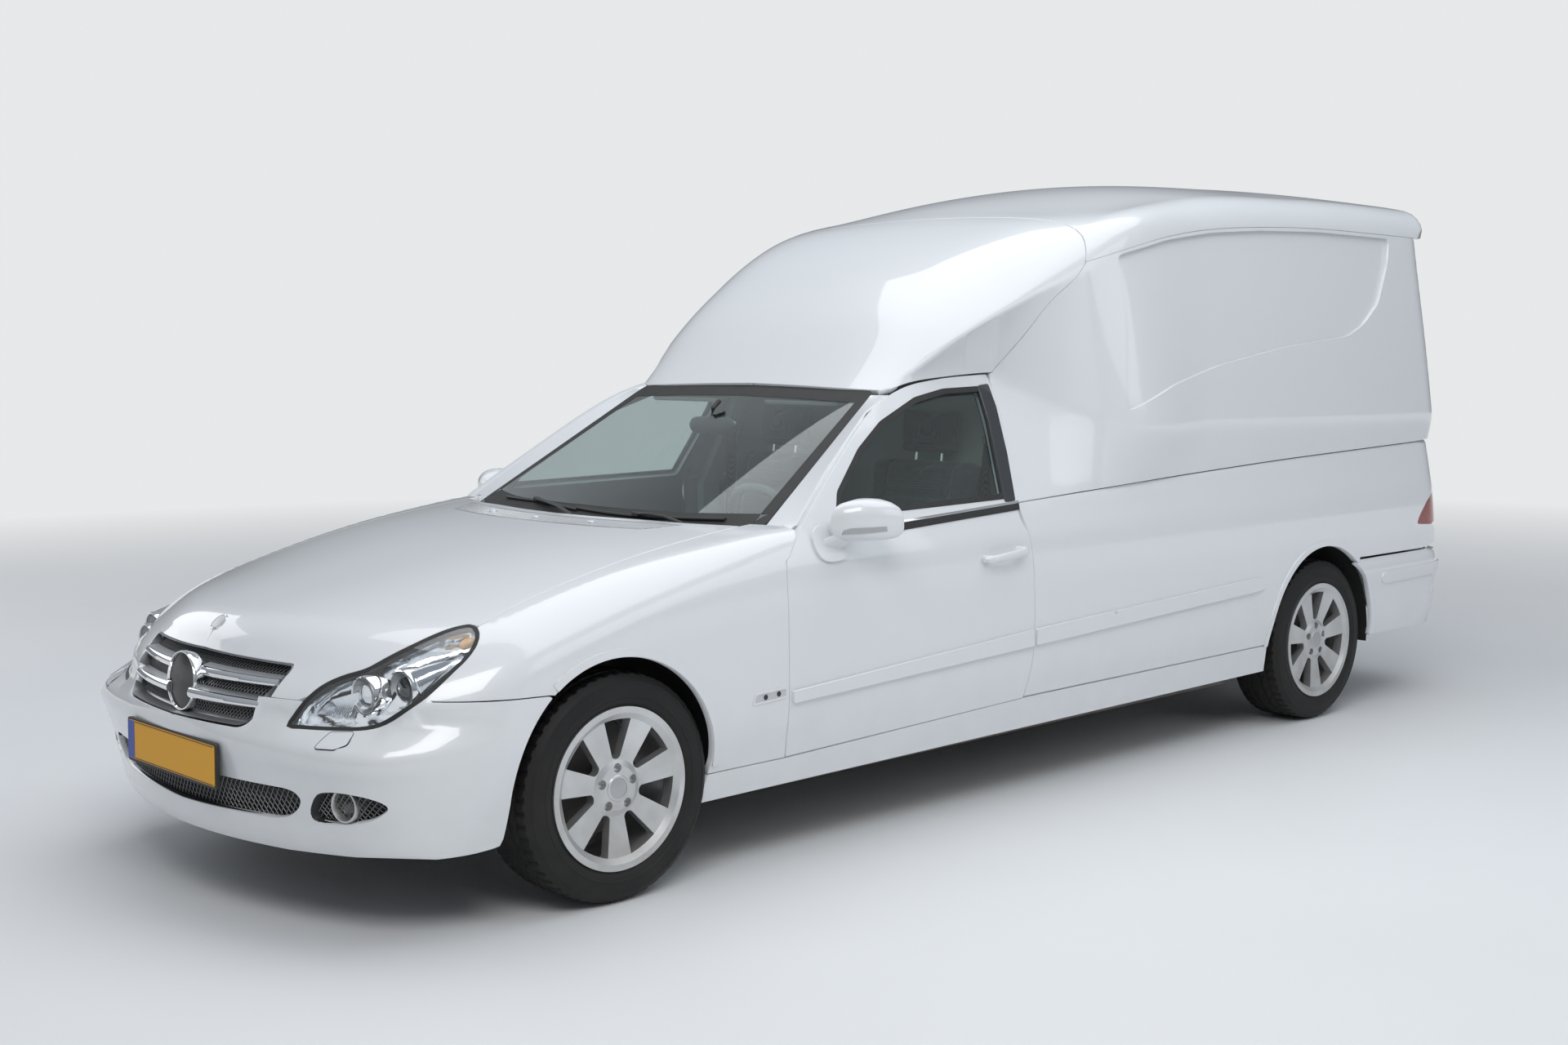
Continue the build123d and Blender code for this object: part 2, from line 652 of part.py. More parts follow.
def upper_pieces():
    outer = upper_space(0)
    under = upper_space(WALL)
    tail = tail_space(0)
    skin = (outer & tail) - (under & tail_space(TAIL_SKIN))
    front = [*FAIRING_FOOT, *FAIRING_SEAM, (1200, 2400), (1200, 1356)]
    front_zone = across(front, -1000, 1000) + box(-598, 598, 1240, 1340, 1290, 1420)
    over_screen = screen_space(SCREEN_GLASS + SEAM) + box(-1000, 1000, 1200, 2200, SCREEN[1][0] + SEAM, 2400)
    save(biggest((skin & front_zone) & over_screen), "roof_fairing")

    behind = [*ROOF_EDGE, (WHEELBASE + 1350, 2400), (2110, 2400), (2136, 1916)]
    roof_zone = across(behind, -1000, 1000, -SEAM)
    gap = gate_zone(SHUT_GAP)
    spoiler = (outer & tail.moved(Location((0, SPOILER_REACH, 0)))) - tail
    spoiler = spoiler & box(-760, 760, 4000, 5000, SPOILER_LOW, 2400)
    y, z = GATE_AXIS
    ears = box(396, 404, y - 10, y + 10, z - 9, SPOILER_LOW + 20)
    ears = ears + box(436, 444, y - 10, y + 10, z - 9, SPOILER_LOW + 20)
    ears = ears + rod((396, y, z), (444, y, z), PIN)
    roof = biggest(((skin & roof_zone) - gap) - both(box(390, 450, y - 90, y + 40, z - 20, SPOILER_LOW))) + spoiler
    save(biggest(roof + both(ears)), "box_roof")

    side = [FAIRING_FOOT[-1], *ROOF_EDGE, (WHEELBASE + 1250, QUARTER_TOP), (1806, QUARTER_TOP)]
    side_zone = across(side, 0, 1000, -SEAM)
    recess = across(RECESS, 0, 1200) - upper_space(RECESS_DEPTH)
    save(both(biggest(((skin & side_zone) - gap) - recess)), "box_sides")

    shell = outer + along([(-860, 600), (860, 600), (860, 1000), (-860, 1000)], 4000, 4700)
    shell = shell & (tail - tail_space(TAIL_SKIN))
    gate = biggest((shell & gate_zone()) - gate_window())
    boss = rod((408, y, z), (432, y, z), 8) + box(408, 432, y - 70, y, z - 14, z - 4)
    boss = boss - rod((400, y, z), (440, y, z), PIN_FIT)
    pad_x = PLATE_PAD[0]
    pad = box(-pad_x, pad_x, TAIL - 20, TAIL + 18, 760, 880) - tail_space(TAIL_SKIN)
    save(biggest(gate + both(boss) + pad), "tailgate")
    pane = (tail_space(6) - tail_space(12)) & gate_window(-SEAM)
    save(biggest(pane), "tailgate_glass")
    return tail, under


def quarters(tail):
    depth = PANEL + 14
    wall = [*SIDE_PROFILE, (HALF_WIDTH - 42, QUARTER_TOP - SEAM), (HALF_WIDTH - 42 - depth, QUARTER_TOP - SEAM)]
    wall = wall + [(x - depth, z) for x, z in reversed(SIDE_PROFILE)]
    zone = across([
        (DOOR_REAR + SHUT_GAP, SILL_TOP), (DOOR_REAR + SHUT_GAP, 1100), (TAIL + 100, 1100),
        (TAIL + 100, REAR_BUMPER_TOP + SEAM), (WHEELBASE + 150, REAR_BUMPER_TOP + SEAM), (WHEELBASE + 150, SILL_TOP),
    ], 500, 1000)
    with BuildPart() as quarter:
        add(along(wall, 1600, 4690) & tail)
        add(lower_space(TAIL - 500, TAIL + 80) & (tail - tail_space(TAIL_SKIN)))
        add(zone, mode=Mode.INTERSECT)
        add(across(DOOR_EDGE, 300, 1200, SHUT_GAP), mode=Mode.SUBTRACT)
        add(gate_zone(SHUT_GAP), mode=Mode.SUBTRACT)
        add(across(LAMP_SIDE, GATE_HALF, 1000, SEAM), mode=Mode.SUBTRACT)
    front = DOOR_REAR + SHUT_GAP
    strip = [(front, 514), (3080, 569), (3107, 580), (3107, 606), (3080, 618), (front, 568)]
    panel = with_arch_lip(biggest(quarter.part) + moulding(strip), REAR_ARCH)
    save(both(biggest(panel)), "quarters")

    with BuildPart() as lamp:
        add(lower_space(TAIL - 500, TAIL + 80) & (tail - tail_space(TAIL_SKIN - 10)))
        add(across(LAMP_SIDE, GATE_HALF + SHUT_GAP, 1000), mode=Mode.INTERSECT)
    save(both(biggest(lamp.part)), "tail_lamps")

    bumper = bumper_space(0) - bumper_space(PANEL) - box(-1000, 1000, 3600, WHEELBASE + 324, 0, 1000)
    save(biggest(bumper - both(wheel_arch(REAR_ARCH))), "rear_bumper")


DOOR_THICK = 82
FRAME_THICK = 30
GLASS = 5
GLASS_INSET = 12
DOOR_HINGES = (540, 740)
DOOR_STRIP = [(DOOR_FRONT + 12, 472), (DOOR_REAR - 2, 513), (DOOR_REAR - 2, 567), (DOOR_FRONT + 12, 508)]
FRAME_TOP = (640, 1412)


def doors():
    waist = SIDE_PROFILE[-1]
    top_x, top_z = FRAME_TOP
    inner = [
        (top_x - FRAME_THICK, top_z), (waist[0] - FRAME_THICK, waist[1]), (waist[0] - FRAME_THICK, 960),
        (HALF_WIDTH - DOOR_THICK, 900), (HALF_WIDTH - DOOR_THICK, 360), (HALF_WIDTH - DOOR_THICK + 10, 330),
    ]
    window = across(DOOR_WINDOW, 500, 1100)
    foot_x, foot_y = DOOR_AXIS
    with BuildPart() as door:
        add(along([(HALF_WIDTH - 26, 330), *SIDE_PROFILE[1:], FRAME_TOP, *inner], 600, 1810))
        add(across(DOOR_EDGE, 300, 1200), mode=Mode.INTERSECT)
        add(box(700, HALF_WIDTH - DOOR_THICK + 30, DOOR_REAR - 14, 1900, 300, 985), mode=Mode.SUBTRACT)
        add(window, mode=Mode.SUBTRACT)
        add(moulding(DOOR_STRIP))
        add(box(HALF_WIDTH + 4, HALF_WIDTH + 20, 1486, 1694, 822, 846))
        add(box(HALF_WIDTH - 10, HALF_WIDTH + 8, 1490, 1520, 826, 842))
        add(box(HALF_WIDTH - 10, HALF_WIDTH + 8, 1660, 1690, 826, 842))
        for z in DOOR_HINGES:
            add(box(780, foot_x + 5, 600, foot_y + 11, z - 11, z + 11), mode=Mode.SUBTRACT)
            add(rod((foot_x, foot_y, z - 20), (foot_x, foot_y, z + 20), PIN_FIT), mode=Mode.SUBTRACT)
    door = biggest(door.part)
    pane_x = waist[0] - GLASS_INSET
    lean = top_x - waist[0]
    pane = [(pane_x, waist[1]), (pane_x + lean, top_z), (pane_x + lean - GLASS, top_z), (pane_x - GLASS, waist[1])]
    glass = biggest(along(pane, 700, 1800) & window)
    with BuildPart() as case:
        for x, y, z, length, height in ((925, 860, 985, 128, 120), (985, 866, 986, 150, 132), (1026, 886, 984, 90, 84)):
            with BuildSketch(Plane.YZ.offset(x)):
                with Locations((y, z)):
                    RectangleRounded(length, height, height * 0.42)
        loft(ruled=True)
        add(box(866, 935, 806, 884, 930, 950))
    mirror_case = biggest(case.part - door)
    for side, turn in (("left", False), ("right", True)):
        for piece, name in ((door, "door"), (glass, "door_glass"), (mirror_case, "mirror")):
            save(piece.mirror(Plane.YZ) if turn else piece, f"{name}_{side}")


# Windscreen in plan at its foot and its head: z, half width, corner y, centre y
SCREEN = [(972, 736, 672, 482), (1352, 590, 1284, 1262)]
SCREEN_GLASS = 10


def screen_space(inset):
    """The space behind the windscreen's outer face moved back by inset."""
    with BuildPart() as space:
        for z, x, corner, centre in SCREEN:
            with BuildSketch(Plane.XY.offset(z)):
                with BuildLine():
                    ThreePointArc((-x, corner + inset), (0, centre + inset), (x, corner + inset))
                    Polyline((x, corner + inset), (x, 1500), (-x, 1500), (-x, corner + inset))
                make_face()
        loft(ruled=True)
    return space.part


# A-pillar in plan, by height: the glass edge's x and y, the door edge's x and y
PILLAR = [
    (905, 742, 640, 874, 644),
    (960, 741, 653, 873, 688),
    (1137, 672.6, 937.7, 785.5, 919),
    (1298, 610.7, 1197, 700, 1167),
    (1352, 590, 1284, 671, 1303),
]
COWL_LOW = 905
COWL_THICK = 13


def pillar():
    with BuildPart() as post_side:
        for z, glass_x, glass_y, door_x, door_y in PILLAR:
            corners = [
                (glass_x + SEAM, glass_y), (door_x - 4, door_y - 8), (door_x - 40, door_y + 24),
                (glass_x + SEAM, glass_y + 40),
            ]
            with BuildSketch(Plane.XY.offset(z)):
                with BuildLine():
                    Polyline(*corners, close=True)
                make_face()
        loft(ruled=True)
    return post_side.part


def door_clearance():
    """The space that a left door's edge and thickness need round them."""
    top_x, top_z = FRAME_TOP
    waist_x, waist_z = SIDE_PROFILE[-1]
    inner = waist_x - FRAME_THICK - SHUT_GAP
    inside = [
        (top_x - FRAME_THICK - SHUT_GAP, top_z + 10), (inner, waist_z), (inner, 960),
        (HALF_WIDTH - DOOR_THICK - SHUT_GAP, 900), (HALF_WIDTH - DOOR_THICK - SHUT_GAP, 300), (1200, 300), (1200, 1500),
    ]
    return across(DOOR_EDGE, 300, 1200, SHUT_GAP + 1) & along(inside, 500, 1900)


def cowl():
    """The panel between hood and windscreen, with the upstand that carries the glass."""
    z, half, corner, centre = SCREEN[0]
    with BuildPart() as panel:
        for back, low, high in ((None, COWL_LOW, COWL_LOW + COWL_THICK), (14, COWL_LOW, z - SEAM)):
            front = -28 if back is None else 0
            with BuildSketch(Plane.XY.offset(low)):
                with BuildLine():
                    ThreePointArc((-half, corner + front), (0, centre + front), (half, corner + front))
                    if back is None:
                        Polyline((half, corner + front), (half, 800), (-half, 800), (-half, corner + front))
                    else:
                        Line((half, corner + front), (half, corner + back))
                        ThreePointArc((half, corner + back), (0, centre + back), (-half, corner + back))
                        Line((-half, corner + back), (-half, corner + front))
                make_face()
            extrude(amount=high - low)
        add(box(-1000, 1000, FIREWALL[1], 900, 0, 2000), mode=Mode.SUBTRACT)
        add(both(box(668, 800, 0, 900, 0, 2000)), mode=Mode.SUBTRACT)
    return panel.part


def cab(under):
    save(biggest(screen_space(0) - screen_space(SCREEN_GLASS)), "windscreen")
    front_post = biggest(pillar() - door_clearance())
    roof = [(y, z + 14) for y, z in FAIRING_FOOT] + [(y, z - 8) for y, z in reversed(FAIRING_FOOT)]
    half_roof = UPPER_STATIONS[1][3] - WALL - 10
    b_post = box(780, 818, DOOR_REAR + 13, DOOR_REAR + 95, SILL_TOP, 960)
    b_post = b_post + post((960, 799, 1789, 38, 82), (1400, 580, 1826, 38, 60))
    lining = across(roof, -half_roof, half_roof)
    lining = biggest(lining & under.moved(Location((0, 0, -SEAM))))
    save(both(front_post + b_post) + lining, "cab_frame")

    front, back = FIREWALL
    y, z = HOOD_AXIS
    ear = box(690, 698, y - 12, y + 6, 895, z + 6) + rod((673, y, z), (698, y, z), PIN)
    side = ear + box(780, 816, DOOR_FRONT - 7, 664, SILL_TOP + SEAM, PILLAR[0][0] - SEAM)
    foot_x, foot_y = DOOR_AXIS
    for z in DOOR_HINGES:
        side = side + box(780, foot_x, foot_y - 4.6, foot_y + 4.6, z - 5, z + 5)
        side = side + rod((foot_x, foot_y, z - 5), (foot_x, foot_y, z + 5), 4.6)
        side = side + rod((foot_x, foot_y, z - 18), (foot_x, foot_y, z + 18), PIN)
    wall = box(-790, 790, front, back, FLOOR_LOW, 880) + box(-716, 716, front, back, 880, COWL_LOW)
    save(wall + both(side), "bulkhead")
    save(cowl(), "cowl_panel")
    spindle = rod((190, 482, COWL_LOW + COWL_THICK), (190, 482, 972), 6)
    save(spindle + rod((-420, 526, COWL_LOW + COWL_THICK), (-420, 526, 972), 6), "wipers")


def floor_and_load():
    rear = REAR_FLOOR + REAR_FLOOR_THICK
    start, end = WHEELBASE - 530, WHEELBASE - 500
    floor = box(-790, 790, FIREWALL[1], end, FLOOR_LOW, FLOOR_TOP) + box(-790, 790, start, end, FLOOR_LOW, rear)
    floor = floor + box(-560, 560, end, TAIL - 130, REAR_FLOOR, rear)
    floor = floor + box(-790, 790, WHEELBASE + 440, TAIL - 130, REAR_FLOOR, rear)
    floor = floor + box(-560, 560, TAIL - 160, TAIL - 130, rear, DECK_Z)
    save(floor, "floor_pan")
    sill = [(790, 215), (860, 215), (HALF_WIDTH - 22, 300), (HALF_WIDTH - 24, SILL_TOP), (790, SILL_TOP)]
    save(both(along(sill, 372, WHEELBASE - 400)), "sills")
    leg = box(540, 560, PARTITION[1], start, FLOOR_TOP, DECK_Z) + box(540, 560, end, TAIL - 160, rear, DECK_Z)
    deck = box(-700, 700, PARTITION[1], TAIL - 170, DECK_Z, DECK_Z + DECK_THICK)
    save(deck + both(leg), "load_deck")
    wall = [(-790, FLOOR_TOP), (790, FLOOR_TOP), (790, 940), (572, 1392), (-572, 1392), (-790, 940)]
    save(along(wall, *PARTITION), "partition")


SEAT_X = 370
SEAT_HALF = 255
REST_HALF = 130


def seats():
    """Two seats, each a base, a cushion, a back and a head rest, drawn in Y and Z."""
    base = [(1140, FLOOR_TOP), (1600, FLOOR_TOP), (1600, 398), (1140, 437)]
    cushion = [(1120, 439), (1610, 397.6), (1618, 520), (1130, 570)]
    back = [(1618.4, 520), (1690, 514), (1850, 1090), (1770, 1110)]
    rest = [(1774, 1140), (1838, 1124), (1852, 1270), (1792, 1282)]
    save(both(across(base, SEAT_X - 190, SEAT_X + 190)), "seat_bases")
    save(both(across(cushion, SEAT_X - SEAT_HALF, SEAT_X + SEAT_HALF)), "seat_cushions")
    with BuildPart() as seat_back:
        add(across(back, SEAT_X - SEAT_HALF, SEAT_X + SEAT_HALF))
        add(rod((SEAT_X - 60, 1800, 1060), (SEAT_X - 60, 1812, 1160), 6))
        add(rod((SEAT_X + 60, 1800, 1060), (SEAT_X + 60, 1812, 1160), 6))
        add(across(rest, SEAT_X - REST_HALF, SEAT_X + REST_HALF), mode=Mode.SUBTRACT)
    save(both(biggest(seat_back.part)), "seat_backs")
    save(both(across(rest, SEAT_X - REST_HALF, SEAT_X + REST_HALF)), "head_rests")


def dashboard():
    front = FIREWALL[1]
    top = [(front, 700), (front, 916), (front + 20, 925), (720, 950), (890, 930), (932, 860), (910, 760), (860, 700)]
    save(across(top, -738, 738), "dashboard")
    tilt = radians(30)
    lean = Vector(0, cos(tilt), sin(tilt))
    hub = Vector(SEAT_X, 1056, 902)
    plane = Plane(origin=hub, x_dir=(1, 0, 0), z_dir=lean)
    with BuildPart() as wheel:
        with BuildSketch(Plane(origin=hub + plane.x_dir * 178, x_dir=plane.x_dir, z_dir=-plane.y_dir)):
            Circle(15)
        revolve(axis=Axis(hub, lean))
        with BuildSketch(plane.offset(-12)):
            Circle(68)
            Rectangle(350, 36)
        extrude(amount=22)
    column = rod(hub - lean * 130, hub - lean * 8, 26)
    save(wheel.part + (column - across(top, 0, 760)), "steering_wheel")


def underside():
    pipe_z = FLOOR_LOW - 52
    pipe = rod((150, 700, pipe_z), (150, 2950, pipe_z), 28) + rod((150, 2400, pipe_z), (150, 2900, pipe_z), 44)
    pipe = pipe + rod((150, 2940, pipe_z), (180, 3300, 180), 26) + rod((180, 3295, 180), (400, 3880, 215), 26)
    pipe = pipe + rod((400, 3850, 300), (400, 4400, 300), 86) + rod((470, 4380, 262), (470, 4590, 182), 24)
    for y in (1500, 2650):
        pipe = pipe + box(140, 160, y - 15, y + 15, pipe_z, FLOOR_LOW)
    pipe = pipe + box(390, 410, 4060, 4090, 300, REAR_FLOOR)
    save(pipe, "exhaust")
    save(box(-540, -100, 2300, 2960, 110, FLOOR_LOW), "fuel_tank")


def main():
    front_pieces()
    wheels()
    running_gear()
    tail, under = upper_pieces()
    quarters(tail)
    doors()
    cab(under)
    floor_and_load()
    seats()
    dashboard()
    underside()


if __name__ == "__main__":
    main()
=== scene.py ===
"""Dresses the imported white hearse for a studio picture: smooth painted panels, lamps, grille, wheels, cabin
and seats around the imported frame, which stays where it is. Sizes are in metres."""
import json
from math import cos, pi, radians, sin

import bmesh
import bpy
import numpy as np
from mathutils import Matrix, Vector
from mathutils.geometry import delaunay_2d_cdt

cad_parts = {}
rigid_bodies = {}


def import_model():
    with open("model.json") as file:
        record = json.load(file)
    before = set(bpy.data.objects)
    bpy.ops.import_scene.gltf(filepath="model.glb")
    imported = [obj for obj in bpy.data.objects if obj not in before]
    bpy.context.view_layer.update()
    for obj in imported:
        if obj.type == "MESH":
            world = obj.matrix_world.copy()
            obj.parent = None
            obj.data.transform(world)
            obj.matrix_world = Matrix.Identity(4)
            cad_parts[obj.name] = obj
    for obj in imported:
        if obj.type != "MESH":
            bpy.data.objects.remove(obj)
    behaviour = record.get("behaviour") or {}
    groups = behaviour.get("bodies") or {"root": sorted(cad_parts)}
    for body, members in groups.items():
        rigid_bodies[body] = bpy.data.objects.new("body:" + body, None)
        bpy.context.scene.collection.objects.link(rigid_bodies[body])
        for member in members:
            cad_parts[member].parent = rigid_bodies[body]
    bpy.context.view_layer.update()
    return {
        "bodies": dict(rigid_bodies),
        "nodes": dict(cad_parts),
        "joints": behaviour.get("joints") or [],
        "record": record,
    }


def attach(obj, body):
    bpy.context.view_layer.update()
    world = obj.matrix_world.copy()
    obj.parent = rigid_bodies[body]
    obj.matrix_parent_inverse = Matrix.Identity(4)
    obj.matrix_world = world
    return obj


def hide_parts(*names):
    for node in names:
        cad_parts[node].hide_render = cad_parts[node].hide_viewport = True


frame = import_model()

bl_info = {
    "name": "White Hearse",
    "version": (1, 0, 0),
    "blender": (4, 5, 0),
    "location": "View3D > Sidebar > Hearse",
    "description": "Builds the painted panels, lamps, wheels, cabin and stage of a long white hearse",
    "category": "Object",
}

# The tables below count Y from the front axle, as the source of the solids does
FRONT_AXLE_Y = -1.915
WHEELBASE = 3.550
WHEEL_CENTRES = [
    ("front_left", 1, 0.0), ("front_right", -1, 0.0), ("rear_left", 1, WHEELBASE), ("rear_right", -1, WHEELBASE),
]
NODES = frame["nodes"]
AXLE = np.array([0.0, FRONT_AXLE_Y, 0.0])
# The ways in which outlines are pressed onto the body
SIDEWAYS = (-1, 0, 0)
BACKWARD = (0, 1, 0)
LAMP_WAY = (-0.62, 0.62, -0.48)
TAIL_WAY = (-0.62, -0.78, 0)
SCREEN_WAY = (0, 0.8, -0.6)


# Curves and fields

def pair(name):
    """The names of a left and a right piece."""
    return f"{name}_left", f"{name}_right"


DOORS = pair("door")


def around(count):
    """Angles spread evenly over a full turn."""
    return [2 * pi * k / count for k in range(count)]


def full(half):
    """A closed outline from its left half, whose first and last points lie on the middle line."""
    return [*half, *[(-x, z) for x, z in reversed(half[1:-1])]]


def unit(vector):
    """The direction of one vector, with a length of 1."""
    vector = np.array(vector, float)
    return vector / np.linalg.norm(vector)


def bend(t, w):
    """A ramp that starts at 0, with its corner rounded over w on each side."""
    return np.where(t <= -w, 0.0, np.where(t >= w, t, (t + w) ** 2 / (4 * w)))


def smooth_max(a, b, r):
    d = np.clip(r - np.abs(a - b), 0, None)
    return np.maximum(a, b) + d * d / (4 * r)


def rounded_line(z, knots):
    """The value at z of a line through knots of height, value and rounding."""
    (z0, x0, _), (z1, x1, _) = knots[0], knots[1]
    value = x0 + (x1 - x0) / (z1 - z0) * (z - z0)
    for (za, xa, _), (zb, xb, w), (zc, xc, _) in zip(knots, knots[1:], knots[2:]):
        value = value + ((xc - xb) / (zc - zb) - (xb - xa) / (zb - za)) * bend(z - zb, w)
    return value


def columns(rows, at):
    """Each column of a table, on a smooth curve, where its first column is at."""
    rows = np.array(rows)
    keys = rows[:, 0]
    slopes = np.gradient(rows[:, 1:], keys, axis=0)
    at = np.clip(at, keys[0], keys[-1])
    i = np.clip(np.searchsorted(keys, at) - 1, 0, len(keys) - 2)
    span = keys[i + 1] - keys[i]
    t = (at - keys[i]) / span
    keep, move = (1 + 2 * t) * (1 - t) ** 2, t * t * (3 - 2 * t)
    lead, trail = t * (1 - t) ** 2 * span, -t * t * (1 - t) * span
    return [
        keep * rows[i, k] + move * rows[i + 1, k] + lead * slopes[i, k - 1] + trail * slopes[i + 1, k - 1]
        for k in range(1, rows.shape[1])
    ]


# Body side, door height and below: z, x, rounding
SIDE = [
    (0.326, 0.880, 0.03), (0.430, 0.902, 0.05), (0.560, 0.908, 0.06), (0.760, 0.906, 0.07), (0.880, 0.896, 0.022),
    (0.985, 0.866, 0.012), (1.412, 0.640, 0.01),
]
# Front body by station: y, crown z, z at the hood's edge, shoulder z, rounding of the shoulder
FRONT = [
    (-0.95, 0.715, 0.560, 0.530, 0.08), (-0.75, 0.772, 0.664, 0.600, 0.10), (-0.30, 0.868, 0.812, 0.712, 0.11),
    (0.20, 0.958, 0.930, 0.828, 0.10), (0.47, 0.990, 0.968, 0.862, 0.07), (0.62, 1.003, 0.984, 0.880, 0.05),
    (0.80, 1.020, 0.998, 0.892, 0.04),
]
# Nose in plan by height: z, centre y, y at x 0.6, y at the side
NOSE = [
    (0.15, -0.790, -0.660, -0.392), (0.22, -0.832, -0.726, -0.398), (0.30, -0.842, -0.745, -0.402),
    (0.42, -0.858, -0.772, -0.407), (0.49, -0.867, -0.786, -0.410), (0.518, -0.865, -0.770, -0.408),
    (0.555, -0.856, -0.712, -0.402), (0.612, -0.836, -0.694, -0.394), (0.700, -0.760, -0.618, -0.340),
    (0.760, -0.738, -0.560, -0.300), (1.04, -0.600, -0.280, -0.080),
]
# Upper body by station: y, waist x, z, side x, z, crease x, z, shoulder x, z, crown z, squareness, rounding
UPPER = [
    (1.22, 0.862, 0.985, 0.640, 1.300, 0.602, 1.300, 0.430, 1.312, 1.316, 1.2, 0.012),
    (1.296, 0.862, 0.985, 0.640, 1.350, 0.622, 1.356, 0.430, 1.374, 1.380, 1.2, 0.014),
    (1.54, 0.862, 0.985, 0.640, 1.400, 0.716, 1.520, 0.600, 1.588, 1.622, 1.15, 0.02),
    (1.80, 0.862, 0.985, 0.645, 1.409, 0.790, 1.655, 0.690, 1.752, 1.806, 0.95, 0.03),
    (2.04, 0.864, 0.992, 0.800, 1.300, 0.838, 1.764, 0.745, 1.868, 1.938, 0.50, 0.06),
    (2.25, 0.866, 1.000, 0.893, 1.220, 0.862, 1.826, 0.780, 1.946, 2.008, 0.00, 0.09),
    (2.76, 0.866, 1.030, 0.899, 1.205, 0.858, 1.915, 0.790, 2.030, 2.110, 0.00, 0.10),
    (3.50, 0.866, 1.050, 0.899, 1.190, 0.856, 1.946, 0.795, 2.056, 2.144, 0.00, 0.10),
    (4.76, 0.866, 1.080, 0.897, 1.170, 0.850, 1.925, 0.785, 2.040, 2.126, 0.00, 0.10),
]
# Tail in plan by height: z, centre y, y at x 0.8
TAIL = [(0.15, 4.620, 4.556), (0.90, 4.596, 4.525), (1.46, 4.556, 4.460), (1.85, 4.516, 4.390), (2.20, 4.476, 4.330)]
# Rear bumper by height: z, centre y, y at x 0.8, half width
REAR_BUMPER = [
    (0.228, 4.602, 4.455, 0.880), (0.330, 4.672, 4.545, 0.900), (0.470, 4.682, 4.560, 0.908),
    (0.606, 4.678, 4.554, 0.908), (0.622, 4.664, 4.540, 0.900),
]
# Windscreen: z, half width, y at the corners, y at the centre
SCREEN = [(0.972, 0.736, 0.672, 0.482), (1.352, 0.590, 1.284, 1.262)]


# Where the nose and the tail bend in plan, how wide the hood is, and how far a skin is looked for
NOSE_KNEE = 0.6
NOSE_CORNER = 0.328
NOSE_BLEND = 0.08
TAIL_KNEE = 0.8
HOOD_HALF = 0.722
SKIN_REACH = 1.6


def side_field(p):
    return np.abs(p[:, 0]) - rounded_line(p[:, 2], SIDE)


def front_field(p):
    x, y, z = np.abs(p[:, 0]), p[:, 1], p[:, 2]
    crown, edge, shoulder, rounding = columns(FRONT, y)
    knots = [
        (0.0, 0.810, 0.03), (np.minimum(0.43, shoulder - 0.27), 0.902, 0.05),
        (np.minimum(0.56, shoulder - 0.18), 0.908, 0.04), (shoulder - 0.12, 0.906, 0.05),
        (shoulder, 0.896, 0.03), (shoulder + 0.105, 0.866, 0.04), (shoulder + 0.4, 0.78, 0.01),
    ]
    side = x - rounded_line(z, knots)
    top = z - (crown - (crown - edge) * (x / HOOD_HALF) ** 2.6)
    centre, knee, corner = columns(NOSE, z)
    plan = centre + (knee - centre) * (x / NOSE_KNEE) ** 2
    plan = plan + (
        corner + 0.03 - centre - 2.392 * (knee - centre)
    ) * np.clip((x - NOSE_KNEE) / NOSE_CORNER, 0, 2) ** 4
    return smooth_max(smooth_max(side, top, rounding), plan - y, NOSE_BLEND)


def tail_field(p):
    x, y, z = np.abs(p[:, 0]), p[:, 1], p[:, 2]
    centre, knee = columns(TAIL, z)
    return y - (centre - (centre - knee) * (x / TAIL_KNEE) ** 2)


def quarter_field(p):
    waist = columns(UPPER, p[:, 1])[1]
    side = np.abs(p[:, 0]) - rounded_line(p[:, 2], [*SIDE[:5], (waist, 0.866, 0.01), (waist + 0.427, 0.640, 0.01)])
    return smooth_max(side, tail_field(p), 0.15)


def upper_field(p, corner=0.13, reach=0.0):
    x, y, z = np.abs(p[:, 0]), p[:, 1], p[:, 2]
    waist_x, waist_z, side_x, side_z, crease_x, crease_z, shoulder_x, shoulder_z, crown, square, rounding = columns(
        UPPER, y,
    )
    side = x - rounded_line(z, [
        (waist_z, waist_x, 0.01), (side_z, side_x, 0.035), (np.maximum(crease_z, side_z + 0.02), crease_x, 0.01),
    ])
    flat = (crown - shoulder_z - square * shoulder_x ** 8) / shoulder_x ** 2
    top = z - (crown - flat * x ** 2 - square * x ** 8)
    return smooth_max(smooth_max(side, top, rounding), tail_field(p) - reach, corner)


def roof_field(p):
    """The roof cap, which overhangs the tail as a small spoiler."""
    return upper_field(p, 0.05, 0.045)


def bumper_field(p):
    x, y, z = np.abs(p[:, 0]), p[:, 1], p[:, 2]
    centre, knee, wide = columns(REAR_BUMPER, z)
    return smooth_max(x - wide, y - (centre - (centre - knee) * (x / TAIL_KNEE) ** 2), 0.16)


def screen_field(p):
    z, half, corner, centre = (np.array(column) for column in zip(*SCREEN))
    t = (p[:, 2] - z[0]) / (z[1] - z[0])
    half, corner, centre = (v[0] + (v[1] - v[0]) * t for v in (half, corner, centre))
    return centre + (corner - centre) * (p[:, 0] / half) ** 2 - p[:, 1]


def moved_out(field, distance):
    """The field of a surface that lies distance outside the first one."""
    return lambda p: field(p) - distance


# Outlines and panels

